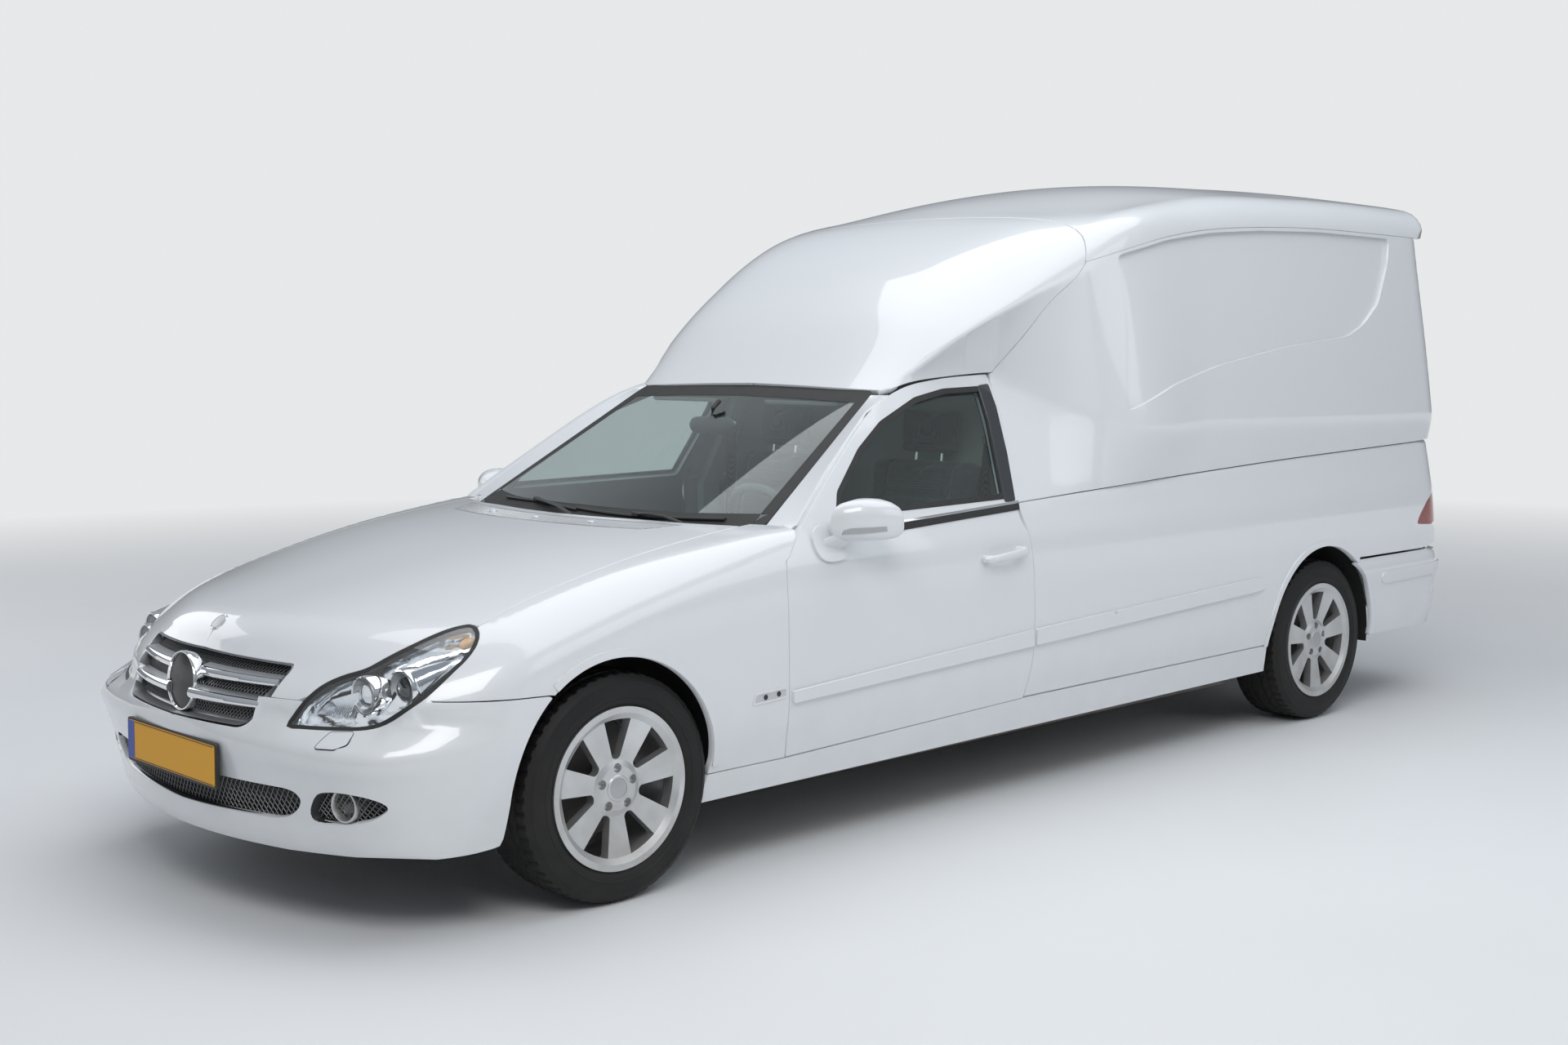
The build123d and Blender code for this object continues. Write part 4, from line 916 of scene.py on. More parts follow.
def mesh_grid(form, view, outline, field, pitch, radius, finish, out=0.0, lean=1.0):
    """Crossing diagonal wires inside an outline, laid on a surface."""
    loop = np.array(outline, float)
    low, high = loop.min(0), loop.max(0)
    for sign in (1, -1):
        k0 = int((low[0] - (high[1] - low[1])) / pitch) - 2
        for k in range(k0, int((high[0] + (high[1] - low[1])) / pitch) + 3):
            pts = []
            steps = max(3, int((high[1] - low[1]) / 0.012))
            for i in range(steps + 1):
                z = low[1] + (high[1] - low[1]) * i / steps
                pts.append((k * pitch + sign * lean * (z - low[1]), z))
            keep = inside(np.array(pts), loop)
            run = [p for p, kept in zip(pts, keep) if kept]
            if len(run) > 2:
                path = trace(view, run, field, out + sign * radius * 0.8)
                form.tube(path, radius, finish, sides=4, caps=False)


# Outlines of the body, on the left half, each drawn in the view it is named after

HOOD_SIDE = [(0.738, -0.352), (0.722, -0.19), (0.718, 0.02), (0.714, 0.25), (0.704, 0.600)]
HOOD_BACK = [(0.704, 0.600), (0.54, 0.532), (0.370, 0.494), (0.19, 0.462), (0.0, 0.452)]
# The head lamp, across and up a plane that faces forward, outward and a little upward
LAMP = [
    (-0.209, 0.037), (-0.182, 0.073), (-0.152, 0.103), (-0.125, 0.126), (-0.093, 0.143), (-0.052, 0.156),
    (-0.017, 0.163), (0.011, 0.174), (0.046, 0.196), (0.081, 0.218), (0.125, 0.245), (0.161, 0.268), (0.197, 0.289),
    (0.232, 0.303), (0.258, 0.303), (0.277, 0.274), (0.278, 0.235), (0.26, 0.19), (0.231, 0.15), (0.2, 0.111),
    (0.168, 0.077), (0.136, 0.053), (0.104, 0.034), (0.066, 0.017), (0.034, 0.008), (-0.004, 0.005), (-0.056, 0.009),
    (-0.11, 0.016), (-0.168, 0.026),
]
GRILLE_HALF = [(0.0, 0.696), (0.396, 0.690), (0.398, 0.672), (0.345, 0.545), (0.318, 0.534), (0.0, 0.530)]
BUMPER_TOP = 0.612
SHUT_LINE = 0.005
LAMP_GAP = 0.006
LOWER_GRILLE = [
    (0.0, 0.388), (0.49, 0.391), (0.524, 0.386), (0.545, 0.368), (0.53, 0.34), (0.49, 0.312), (0.44, 0.3),
    (0.0, 0.288),
]
FOG = [
    (0.564, 0.330), (0.576, 0.358), (0.603, 0.388), (0.647, 0.399), (0.700, 0.400), (0.750, 0.393), (0.779, 0.380),
    (0.787, 0.365), (0.776, 0.350), (0.748, 0.331), (0.702, 0.317), (0.655, 0.311), (0.604, 0.307), (0.573, 0.312),
]
FRONT_ARCH = ((-0.015, 0.339), 0.348)
REAR_ARCH = ((3.552, 0.323), 0.375)
DOOR_FRONT_EDGE = [(0.626, 0.309), (0.619, 0.450), (0.619, 0.850), (0.640, 0.905), (0.707, 0.986)]
DOOR_TOP_EDGE = [(0.707, 0.986), (0.919, 1.137), (1.167, 1.298), (1.348, 1.370), (1.551, 1.399), (1.797, 1.410)]
DOOR_REAR_EDGE = [
    (1.797, 1.410), (1.786, 1.272), (1.695, 0.988), (1.722, 0.880), (1.735, 0.760), (1.735, 0.500), (1.708, 0.338),
]
DOOR_WINDOW = [
    (0.868, 1.006), (0.905, 1.070), (1.060, 1.190), (1.200, 1.268), (1.400, 1.338), (1.551, 1.362), (1.738, 1.366),
    (1.722, 1.262), (1.648, 1.014),
]
BELT = [(1.70, 0.988), (2.05, 1.003), (2.47, 1.022), (2.90, 1.038), (3.31, 1.052), (3.80, 1.064), (4.30, 1.076)]
CAP_EDGE = [
    (2.081, 1.787), (2.280, 1.835), (2.516, 1.884), (2.795, 1.919), (3.134, 1.938), (3.544, 1.945), (4.156, 1.934),
    (4.30, 1.930),
]
FAIRING_FOOT = [(1.312, 1.366), (1.400, 1.391), (1.551, 1.406), (1.806, 1.418)]
FAIRING_SIDE = [(1.806, 1.418), (1.862, 1.530), (1.933, 1.650), (2.033, 1.735), (2.081, 1.787)]
RECESS = [
    (2.232, 1.815), (2.290, 1.828), (2.516, 1.876), (2.795, 1.910), (3.134, 1.929), (3.544, 1.936), (4.078, 1.926),
    (4.058, 1.818), (3.976, 1.657), (3.856, 1.572), (3.736, 1.527), (3.265, 1.487), (2.833, 1.426), (2.531, 1.362),
    (2.256, 1.272), (2.262, 1.630),
]
TAIL_LAMP_SIDE = [(4.40, 0.724), (4.290, 0.732), (4.281, 0.745), (4.305, 0.775), (4.37, 0.830), (4.44, 0.868)]
TAIL_LAMP_REAR = [
    (0.838, 0.884), (0.8, 0.893), (0.752, 0.902), (0.742, 0.892), (0.742, 0.722), (0.752, 0.713), (0.8, 0.715),
]
GATE = (0.712, 0.634, 1.938)
GATE_WINDOW = (0.565, 1.220, 1.780, 0.06)


FAIRING_CREASE = curve([(y, crease_z) for y, _, _, _, _, _, crease_z, *_ in UPPER[1:6]])
BOX_TUCK = curve([(y, side_z) for y, _, _, _, side_z, *_ in UPPER[3:]])


def arc(circle, start, end):
    """Points on a circle between two angles in degrees, the first one forward of straight up."""
    (y, z), radius = circle
    steps = max(4, int(abs(end - start) / 4))
    turns = [radians(start + (end - start) * k / steps) for k in range(steps + 1)]
    return [(y + radius * cos(t), z + radius * sin(t)) for t in turns]


def shifted(points, da, db):
    return [(a + da, b + db) for a, b in points]


def half_grille(distance):
    """The grille opening's left half, from the top centre to the bottom centre, moved out by distance."""
    whole = full(GRILLE_HALF)
    ring = grown(round_corners(whole, 0.02), distance)
    left = sorted((p for p in ring if p[0] > 0.02), key=lambda p: -p[1] + 0.001 * p[0])
    return [(0.0, 0.696 + distance)] + left + [(0.0, 0.530 - distance)]


def half_lower_grille(distance):
    low = round_corners(LOWER_GRILLE, 0.02, closed=False)
    whole = full(low)
    return grown(whole, distance)[:len(low)]


def lamp_run(distance, start, end):
    """Part of the head lamp's outline, moved out by distance, between the points nearest to start and end."""
    loop = grown(curve(LAMP, closed=True), distance)
    near = [
        min(range(len(loop)), key=lambda i: (loop[i][0] - a) ** 2 + (loop[i][1] - b) ** 2) for a, b in (start, end)
    ]
    last = near[1] if near[1] > near[0] else near[1] + len(loop)
    return [loop[i % len(loop)] for i in range(near[0], last + 1)]


def hood_parts():
    front_low = BUMPER_TOP + 0.003
    grille = [p for p in half_grille(SHUT_LINE) if p[1] > front_low]
    outline = [
        ("top", curve(HOOD_SIDE)), ("top", curve(HOOD_BACK)[1:]), ("top", line([(0, 0.44), (0, -0.7)])),
        ("front", line(grille + [(grille[-1][0] - 0.003, front_low), (0.48, front_low)])),
        ("lamp", lamp_run(LAMP_GAP, (-0.15, 0.112), (0.246, 0.31))),
    ]
    # The inner face takes the darker copy of the paint, as painted shade.
    panel(
        "painted_hood", "paint", outline, (0, 0.62, -0.78), front_field, body="hood", middle=True, back="paint_in_shaded",
        step=0.035, replaces="hood",
    )


def wing_parts():
    door = shifted(DOOR_FRONT_EDGE, -0.005, 0)
    outline = [
        ("side", arc(FRONT_ARCH, 128, 2)), ("side", line([(0.331, 0.339), (0.322, 0.308), (0.621, 0.308)])),
        ("side", curve([(0.619, 0.33)] + door[1:])), ("top", line([(0.8, 0.69), (0.711, 0.64)])),
        ("top", shifted(curve(HOOD_SIDE[::-1]), 0.006, 0)),
        ("lamp", lamp_run(LAMP_GAP, (0.27, 0.302), (0.176, 0.076))),
        ("side", line([(-0.555, 0.63), (-0.245, 0.616)])),
    ]
    panel("painted_wings", "paint", outline, (-0.7, 0.42, -0.58), front_field, step=0.026, replaces="wings")


def bumper_parts():
    grille = [p for p in half_grille(SHUT_LINE) if p[1] < BUMPER_TOP]
    outline = [
        ("front", line([(0, 0.525), (0, 0.386)])), ("front", line(half_lower_grille(0.0))),
        ("front", line([(0, 0.29), (0, 0.216)])), ("front", line([(0.02, 0.215), (0.46, 0.217), (0.68, 0.226)])),
        ("side", curve([(-0.56, 0.224), (-0.405, 0.227), (-0.38, 0.236), (-0.371, 0.265), (-0.363, 0.339)])),
        ("side", arc(FRONT_ARCH, 178, 130)), ("side", line([(-0.245, 0.61), (-0.545, 0.624)])),
        ("lamp", lamp_run(LAMP_GAP, (0.168, 0.07), (-0.17, 0.098))),
        ("front", line([(0.475, BUMPER_TOP), (grille[0][0], BUMPER_TOP)])), ("front", line(grille)),
    ]
    panel(
        "painted_front_bumper", "paint", outline, (-0.42, 0.9, 0.06), front_field,
        holes=[[("front", curve(FOG, closed=True))]], middle=True, step=0.04, replaces="front_bumper",
    )


def sill_parts():
    top = [(0.292, 0.222), (0.326, 0.302), (0.636, 0.302), (1.712, 0.334), (3.177, 0.338), (3.19, 0.236)]
    outline = [("side", line(top)), ("side", line([(3.16, 0.236), (0.32, 0.222)]))]
    panel("painted_sills", "paint", outline, SIDEWAYS, side_field, step=0.06, replaces="sills")


def upper_parts():
    front = [(0.602, 1.368), (0.45, 1.373), (0.22, 1.380), (0.0, 1.384)]
    panel(
        "painted_fairing", "paint",
        [
            ("top", line([(0, 2.128), (0.68, 2.13)])), ("side", line([(2.133, 1.925), (2.081, 1.792)])),
            ("side", curve(FAIRING_SIDE[::-1])), ("side", curve(FAIRING_FOOT[::-1])[1:]), ("front", curve(front)),
            ("top", line([(0, 1.35), (0, 2.1)])),
        ],
        (-0.5, 0.5, -0.7), upper_field, middle=True, step=0.03,
        creases=[("side", row) for row in beside(FAIRING_CREASE, (-0.03, -0.018, -0.008, 0.0, 0.008, 0.018, 0.03))],
        replaces="roof_fairing",
    )
    panel(
        "painted_roof", "paint",
        [
            ("top", line([(0, 4.44), (0, 2.134)])), ("top", line([(0.02, 2.134), (0.68, 2.136)])),
            ("side", line([(2.139, 1.925), (2.087, 1.795)])), ("side", shifted(curve(CAP_EDGE), 0.004, 0.004)),
            ("rear", line([(0.81, 1.938), (0.72, 1.956), (0.0, 1.962)])), ("rear", line([(0, 1.97), (0, 2.06)])),
        ],
        (-0.34, -0.5, -0.8), roof_field, middle=True, step=0.028, replaces="box_roof",
    )
    panel(
        "painted_box_sides", "paint",
        [
            ("side", curve(shifted(BELT, 0.002, 0.005))),
            ("rear", line([(0.82, 1.084), (0.718, 1.086), (0.718, 1.946)])),
            ("rear", line([(0.72, 1.95), (0.81, 1.932)])), ("side", curve(CAP_EDGE[::-1])),
            ("side", shifted(curve(FAIRING_SIDE[::-1]), 0.004, -0.002)),
            ("side", line([(1.802, 1.412), (1.792, 1.272), (1.702, 0.995)])),
        ],
        (-0.87, -0.48, -0.05), upper_field, holes=[patch("side", RECESS, 0.03)], step=0.032,
        creases=[("side", row) for row in beside(BOX_TUCK, (-0.03, -0.015, 0.0, 0.015, 0.03))], replaces="box_sides",
    )
    panel(
        "painted_side_recesses", "paint", [("side", line(grown(round_corners(RECESS, 0.03), 0.002), closed=True))],
        SIDEWAYS, upper_field, -0.015, depth=0.004, step=0.06,
    )
    panel(
        "painted_quarters", "paint",
        [
            ("side", line([(1.714, 0.342), (3.17, 0.345)])), ("side", arc(REAR_ARCH, 176, 52)),
            ("side", line([(3.8, 0.632), (4.32, 0.63)])),
            ("rear", line([(0.84, 0.63), (0.718, 0.63), (0.718, 1.08)])),
            ("rear", line([(0.73, 1.08), (0.82, 1.078)])), ("side", curve(BELT[::-1])),
            ("side", curve(shifted(DOOR_REAR_EDGE[2:], 0.006, 0))[:-1]),
        ],
        (-0.85, -0.52, 0), quarter_field, holes=[[("side", curve(TAIL_LAMP_SIDE)), ("rear", line(TAIL_LAMP_REAR))]],
        step=0.035, replaces="quarters",
    )


def door_parts():
    outline = [
        ("side", curve(DOOR_FRONT_EDGE)), ("side", curve(DOOR_TOP_EDGE)[1:]), ("side", curve(DOOR_REAR_EDGE)[1:]),
        ("side", line([(1.69, 0.3375), (0.66, 0.310)])),
    ]
    window = line(round_corners(DOOR_WINDOW, 0.012), closed=True)
    panel(
        pair("painted_door"), "paint", outline, SIDEWAYS, quarter_field, body=DOORS, holes=[[("side", window)]],
        depth=0.03, back="grey_plastic", replaces=DOORS,
    )
    panel(
        pair("window_seal"), "rubber", [("side", grown(window, 0.006))], SIDEWAYS, quarter_field, 0.002, body=DOORS,
        holes=[[("side", grown(window, -0.01))]], depth=0.012,
    )


def rear_parts():
    half, low, high = GATE
    window, window_low, window_high, corner = GATE_WINDOW
    hole = round_corners(
        [(0, window_high), (window, window_high), (window, window_low), (0, window_low)], corner, closed=False,
    )
    outline = [
        ("rear", line([(0, low), (half, low), (half, high), (0, high)])),
        ("rear", line([(0, high - 0.02), (0, window_high + 0.01)])), ("rear", line(hole)),
        ("rear", line([(0, window_low - 0.01), (0, low + 0.01)])),
    ]
    # The inner face takes the darker copy of the paint, as painted shade.
    panel(
        "painted_tailgate", "paint", outline, (0, -1, 0), tail_field, body="tailgate", depth=0.03, middle=True,
        back="paint_in_shaded", replaces="tailgate",
    )
    whole = full(hole)
    panel(
        "tailgate_window_seal", "rubber", [("rear", line(grown(whole, 0.018), closed=True))], (0, -1, 0), tail_field,
        0.002, body="tailgate", holes=[[("rear", line(grown(whole, -0.015), closed=True))]], depth=0.012, sides="one",
    )
    panel(
        "painted_rear_bumper", "paint",
        [
            ("rear", line([(0, 0.616), (0, 0.306)])), ("rear", line([(0.02, 0.302), (0.8, 0.302)])),
            ("side", line([(4.5, 0.3), (3.922, 0.3)])), ("side", arc(REAR_ARCH, -3, 51)),
            ("side", line([(3.8, 0.62), (4.36, 0.62)])), ("rear", line([(0.8, 0.619), (0.02, 0.619)])),
        ],
        TAIL_WAY, bumper_field, middle=True, replaces="rear_bumper",
    )


# Front details

def head_lamp_parts():
    edge = curve(LAMP, closed=True)
    seal_in = grown(edge, -0.006)
    panel(
        "head_lamp_seals", "rubber", [("lamp", grown(edge, 0.004))], LAMP_WAY, front_field, -0.002,
        holes=[[("lamp", seal_in)]], depth=0.02,
    )
    panel(
        "head_lamp_covers", "lens", [("lamp", seal_in)], LAMP_WAY, front_field, -0.003, depth=0.003, back="lens",
        step=0.03, replaces="head_lamps",
    )
    panel(
        "head_lamp_bowls", "reflector", [("lamp", grown(edge, 0.002))], LAMP_WAY, front_field, -0.062, depth=0.004,
        step=0.02,
    )
    panel(
        "head_lamp_walls", "reflector", [("lamp", grown(edge, -0.003))], LAMP_WAY, front_field, -0.008,
        holes=[[("lamp", grown(edge, -0.005))]], depth=0.058,
    )
    lamps = Form("head_lamp_units")
    for x, y, z, r, glass in ((0.634, -0.634, 0.628, 0.052, "mirror"), (0.718, -0.574, 0.648, 0.053, "dark_glass")):
        ahead = (0.05, -1, 0.0)
        lamps.lathe((x, y, z), ahead, [
            (r * 1.04, -0.045), (r * 1.06, 0.0), (r * 1.02, 0.006), (r * 0.94, 0.004), (r * 0.90, -0.004),
        ], "chrome")
        lamps.lathe(
            (x, y, z), ahead, [(r * 0.92, 0.0), (r * 0.88, 0.004), (r * 0.8, -0.006), (r * 0.6, -0.014)], "satin",
        )
        lamps.lathe(
            (x, y, z), ahead, [(r * 0.62, -0.012), (r * 0.55, -0.002), (r * 0.35, 0.006), (r * 0.001, 0.009)], glass,
        )
    for k in range(26):
        t = k / 25
        a = np.array([0.735 + 0.045 * t, -0.545 + 0.12 * t, 0.655 + 0.055 * t])
        lamps.lathe(
            a, (0.35, 1, 0.42), [(0.046 - 0.026 * t, -0.003), (0.049 - 0.026 * t, 0), (0.046 - 0.026 * t, 0.003)],
            "reflector", 28,
        )
    for k in range(15):
        x = 0.510 + 0.0060 * k
        top, bottom = 0.612 + 0.0022 * k, 0.574
        path = trace(
            "front", [(x + 0.005 * j, bottom + (top - bottom) * j / 6) for j in range(7)], front_field, -0.045,
        )
        lamps.tube(path, 0.0022, "reflector", sides=5)
    lamps.lathe(
        (0.752, -0.395, 0.752), (0.5, 0.6, 0.4),
        [(0.001, -0.026), (0.011, -0.018), (0.014, 0.0), (0.01, 0.014), (0.001, 0.02)], "amber", 20,
    )
    lamps.mirrored().done()
    washer = line(
        [(-0.113, -0.047), (-0.08, 0.001), (-0.015, -0.004), (-0.024, -0.047), (-0.056, -0.058)], closed=True,
    )
    washer = round_corners(washer, 0.008)
    panel(
        "lamp_washer_gaps", "rubber", [("lamp", grown(washer, 0.0022))], LAMP_WAY, front_field, 0.0003, depth=0.003,
        step=0.02,
    )
    panel("lamp_washer_covers", "paint", [("lamp", washer)], LAMP_WAY, front_field, 0.0009, depth=0.004, step=0.02)


def vane(form, z, x0, x1):
    """One chrome bar with the satin shelf that runs back and up from it."""
    xs = np.linspace(x0, x1, 16)
    front = trace("front", [(x, z) for x in xs], front_field)
    out = slope(front, front_field) * np.array([1, 1, 0])
    out /= np.linalg.norm(out, axis=1)[:, None]
    up = np.array([0, 0, 1.0])
    bar = [
        (-0.012, -0.0135), (-0.007, -0.0145), (-0.001, -0.009), (0.001, -0.002), (-0.001, 0.007), (-0.006, 0.0135),
        (-0.012, 0.0145),
    ]
    shelf = [
        (-0.009, 0.0125), (-0.016, 0.0155), (-0.026, 0.018), (-0.036, 0.021), (-0.037, 0.018), (-0.03, -0.01),
        (-0.01, -0.0135),
    ]
    slim = [1.0 - 0.22 * (x - x0) / (x1 - x0) for x in xs]
    for profile, finish in ((bar, "chrome"), (shelf, "satin")):
        form.rings(
            [[p + n * d + up * h * k for d, h in profile] for p, n, k in zip(front, out, slim)], finish, caps=True,
        )


def grille_parts():
    grille = Form("radiator_grille")
    for z, x0, x1 in ((0.645, 0.058, 0.392), (0.590, 0.062, 0.362)):
        vane(grille, z, x0, x1)
    grille.mirrored()
    whole = full(GRILLE_HALF)
    ring = line(grown(round_corners(whole, 0.02), -0.001), closed=True)
    rim = [trace("front", ring, front_field, -d) for d in (0.001, 0.004, 0.024, 0.042)]
    small = trace("front", grown(ring, -0.01), front_field, -0.046)
    grille.rings([*rim, small], "satin")
    mesh_grid(grille, "front", grown(ring, 0.001), front_field, 0.0135, 0.0015, "mesh", out=-0.036, lean=0.85)
    grille.lathe((0, -0.828, 0.614), (0, -1, 0.10), [
        (0.078, -0.03), (0.0830, -0.006), (0.0832, 0.0), (0.0808, 0.0048), (0.0778, 0.0046), (0.0762, -0.001),
    ], "chrome", 56)
    grille.lathe(
        (0, -0.828, 0.614), (0, -1, 0.1), [(0.0768, -0.002), (0.05, 0.0), (0.025, 0.0015), (0.0005, 0.002)], "gloss",
        56,
    )
    grille.lathe((0, -0.828, 0.614), (0, -1, 0.10), [(0.070, -0.03), (0.045, -0.075), (0.001, -0.075)], "satin", 40)
    grille.done(replaces=("grilles",))
    # A flat black sheet behind the grille closes the opening: painted shade for the dark space behind it.
    panel(
        "radiator_shroud", "rubber", [("front", line(half_grille(0.004)))], BACKWARD, front_field, -0.062,
        depth=0.004, middle=True,
    )
    badge_place, badge_out = surface_point("top", (0.0, -0.712), front_field, 0.0006)
    badge = Form("hood_badge", "hood")
    badge.lathe(
        badge_place, badge_out, [(0.0275, -0.003), (0.0275, 0.0008), (0.0255, 0.0018), (0.024, 0.0012)], "chrome", 36,
    )
    badge.lathe(badge_place, badge_out, [(0.0242, 0.0010), (0.012, 0.0018), (0.0004, 0.0020)], "satin", 36)
    badge.done()


def low_openings():
    """The lower grille and the fog lamps, each behind wire mesh."""
    low = Form("lower_grille")
    half = round_corners(LOWER_GRILLE, 0.02, closed=False)
    whole = line(full(half), closed=True)
    rims = [
        trace("front", grown(whole, g), front_field, -d)
        for g, d in ((-0.001, 0.001), (-0.003, 0.012), (-0.003, 0.05))
    ]
    low.rings(rims, "black")
    mesh_grid(low, "front", grown(whole, 0.003), front_field, 0.019, 0.0013, "mesh", out=-0.018, lean=0.7)
    # A black ring at the back of the opening: painted shade.
    low.rings(
        [
            trace("front", grown(whole, 0.004), front_field, -0.055),
            trace("front", grown(whole, -0.02), front_field, -0.056),
        ],
        "rubber",
    )
    low.done()
    # A flat black sheet behind the lower grille: painted shade for the dark space behind it.
    panel(
        "lower_shroud", "rubber", [("front", line(half_lower_grille(0.004)))], BACKWARD, front_field, -0.056,
        depth=0.004, middle=True,
    )
    fog = Form("fog_lamp_units")
    ring = curve(FOG, closed=True)
    rims = [
        trace("front", grown(ring, g), front_field, -d) for g, d in ((-0.001, 0.001), (-0.004, 0.012), (-0.006, 0.05))
    ]
    fog.rings(rims, "black")
    mesh_grid(fog, "front", grown(ring, 0.002), front_field, 0.016, 0.0013, "mesh", out=-0.022, lean=0.9)
    place, _ = surface_point("front", (0.672, 0.356), front_field, -0.022)
    for profile, finish in (
        (
            [
                (0.04, -0.05), (0.043, -0.006), (0.0445, 0.006), (0.043, 0.012), (0.0385, 0.012), (0.0345, 0.004),
                (0.034, -0.01),
            ],
            "alloy",
        ),
        ([(0.035, -0.012), (0.028, -0.004), (0.015, 0.001), (0.0005, 0.003)], "dark_glass"),
    ):
        fog.lathe(place, (0.28, -1, 0.0), profile, finish, 48)
    fog.mirrored().done(replaces=("fog_lamps",))
    # Flat black sheets behind the fog lamps: painted shade for the dark space behind them.
    panel("fog_shrouds", "rubber", [("front", grown(ring, 0.003))], (-0.3, 1, 0), front_field, -0.055, depth=0.004)


def plate_form(name, place, normal, body="body"):
    """A blank plate with a blue band at its left end, in a black holder."""
    centre = np.array(place, float)
    n = unit(normal)
    across = np.cross([0, 0, 1.0], n)
    up = np.cross(n, across)
    form = Form(name, body)

    def sheet(x0, x1, z0, z1, out, depth, finish, corner):
        ring = round_corners([(x0, z0), (x1, z0), (x1, z1), (x0, z1)], corner)
        form.slab([centre + across * a + up * b + n * out for a, b in ring], n, depth, finish, 0.0008)

    sheet(-0.266, 0.266, -0.064, 0.060, 0.004, 0.012, "black", 0.010)
    sheet(-0.260, 0.260, -0.056, 0.054, 0.0065, 0.003, "plate", 0.008)
    sheet(-0.2595, -0.218, -0.0555, 0.0535, 0.0070, 0.002, "plate_band", 0.006)
    for z in (-0.0525, 0.0505):
        path = [centre + across * a + up * z + n * 0.0066 for a in np.linspace(-0.215, 0.255, 12)]
        form.tube(path, 0.0012, "black", sides=6)
    form.done()


# Wheels

WHEEL_X = 0.780
TYRE_RADIUS = 0.320
TYRE_HALF = 0.111
BEAD_RADIUS = 0.2285
TREAD_EDGE = 0.021
TREAD_ROWS = 61
TREAD_STEPS = 216
GROOVES = (0.023, 0.055)
GROOVE_HALF = 0.0042
RIB_TO = 0.052
SHOULDER_FROM = 0.058
HUB_OUT = 0.092
BOLTS = 5
BOLT_CIRCLE = 0.056


def tyre_form(name, side, y, body):
    """A tyre with blocks between ribs, sipes and a raised line on its wall."""
    form = Form(name, body)
    depth = bpy.context.scene.hearse_sizes.tread_depth
    steps = TREAD_STEPS
    edge = TYRE_HALF - TREAD_EDGE
    wall = [
        (BEAD_RADIUS, 0.1005), (0.234, 0.1045), (0.24, 0.1085), (0.252, 0.1105), (0.2535, 0.1122), (0.2565, 0.1122),
        (0.258, 0.1108), (0.272, 0.1105), (0.29, 0.1065), (0.2915, 0.1075), (0.296, 0.1065), (0.297, 0.105),
        (0.306, 0.0985), (0.313, 0.0925),
    ]
    turns = around(steps)
    rows = [[(r, -a)] * steps for r, a in wall]
    for x in np.linspace(-edge, edge, TREAD_ROWS):
        r = TYRE_RADIUS - 0.004 * (abs(x) / edge) ** 3
        row = []
        for k in range(steps):
            block = abs(x) > SHOULDER_FROM and (k + (2 if x > 0 else 0)) % 4 == 0
            sipe = 0.004 < abs(x) <= RIB_TO and (k + int(abs(x) * 150)) % 6 == 0
            cut = 1.0 if any(
                (abs(abs(x) - g) < GROOVE_HALF for g in GROOVES)
            ) else 0.8 if block else 0.5 if sipe else 0.0
            row.append((r - cut * depth, x))
        rows.append(row)
    rows += [[(r, a)] * steps for r, a in reversed(wall)]
    rows += [[(BEAD_RADIUS - 0.009, x)] * steps for x in (0.095, -0.095)]
    rings = [
        [(side * WHEEL_X + a, y + r * cos(t), TYRE_RADIUS + r * sin(t)) for (r, a), t in zip(row, turns)]
        for row in rows
    ]
    form.rings(rings, "tyre", joined=True)
    form.done(replaces=(name.replace("treaded_", ""),), sharp=25)


def wheel_parts():
    for place, side, y in WHEEL_CENTRES:
        tyre_form(f"treaded_tyre_{place}", side, y, f"wheel_{place}")
        trim = Form(f"wheel_trim_{place}", f"wheel_{place}")
        centre = np.array([side * (WHEEL_X + HUB_OUT), y, TYRE_RADIUS])
        out = (side, 0, 0)
        trim.lathe(centre, out, [(0.037, -0.012), (0.037, 0.001), (0.0345, 0.003), (0.0300, 0.003)], "alloy", 40)
        trim.lathe(centre, out, [(0.0305, 0.0026), (0.0290, 0.0020), (0.0240, 0.0030), (0.0005, 0.0042)], "satin", 40)
        # The bolts are black: painted shade in the rims' bolt holes.
        for turn in around(BOLTS):
            turn += pi / 2
            at = centre + np.array([-side * 0.028, BOLT_CIRCLE * cos(turn), BOLT_CIRCLE * sin(turn)])
            trim.lathe(at, out, [(0.0095, -0.01), (0.0095, 0.006), (0.0085, 0.008), (0.0005, 0.008)], "rubber", 6)
        trim.done()


def arch_liners():
    """The dark liners over the wheels; the rear ones also close the arch from the load bay."""
    form = Form("wheel_arch_liners")
    for (y, z), profile in (
        (FRONT_ARCH[0], [(0.600, 0.388), (0.842, 0.388), (0.842, 0.392), (0.600, 0.392)]),
        (REAR_ARCH[0], [
            (0.580, 0.140), (0.580, 0.392), (0.868, 0.392), (0.868, 0.396), (0.576, 0.396), (0.576, 0.140),
        ]),
    ):
        rings = []
        for k in range(41):
            w = radians(-8 + 196 * k / 40)
            rings.append([(x, y - r * cos(w), z + r * sin(w)) for x, r in profile])
        form.rings(rings, "rubber", caps=True)
    form.mirrored().done()


# Cab details

SCREEN_EDGE = [(0.0, 0.975), (0.45, 0.972), (0.728, 0.978), (0.59, 1.346), (0.575, 1.362), (0.3, 1.372), (0.0, 1.376)]
MIRROR_ROWS = [
    # x, y at the front and at the back, height of the middle, half height
    (0.890, 0.815, 0.868, 0.978, 0.026), (0.897, 0.790, 0.893, 0.984, 0.047), (0.915, 0.780, 0.915, 0.993, 0.060),
    (0.945, 0.795, 0.932, 0.998, 0.065), (0.975, 0.826, 0.948, 0.998, 0.063), (1.000, 0.862, 0.960, 0.995, 0.057),
    (1.0145, 0.898, 0.970, 0.991, 0.048), (1.0215, 0.930, 0.976, 0.988, 0.036), (1.0252, 0.956, 0.978, 0.986, 0.018),
]


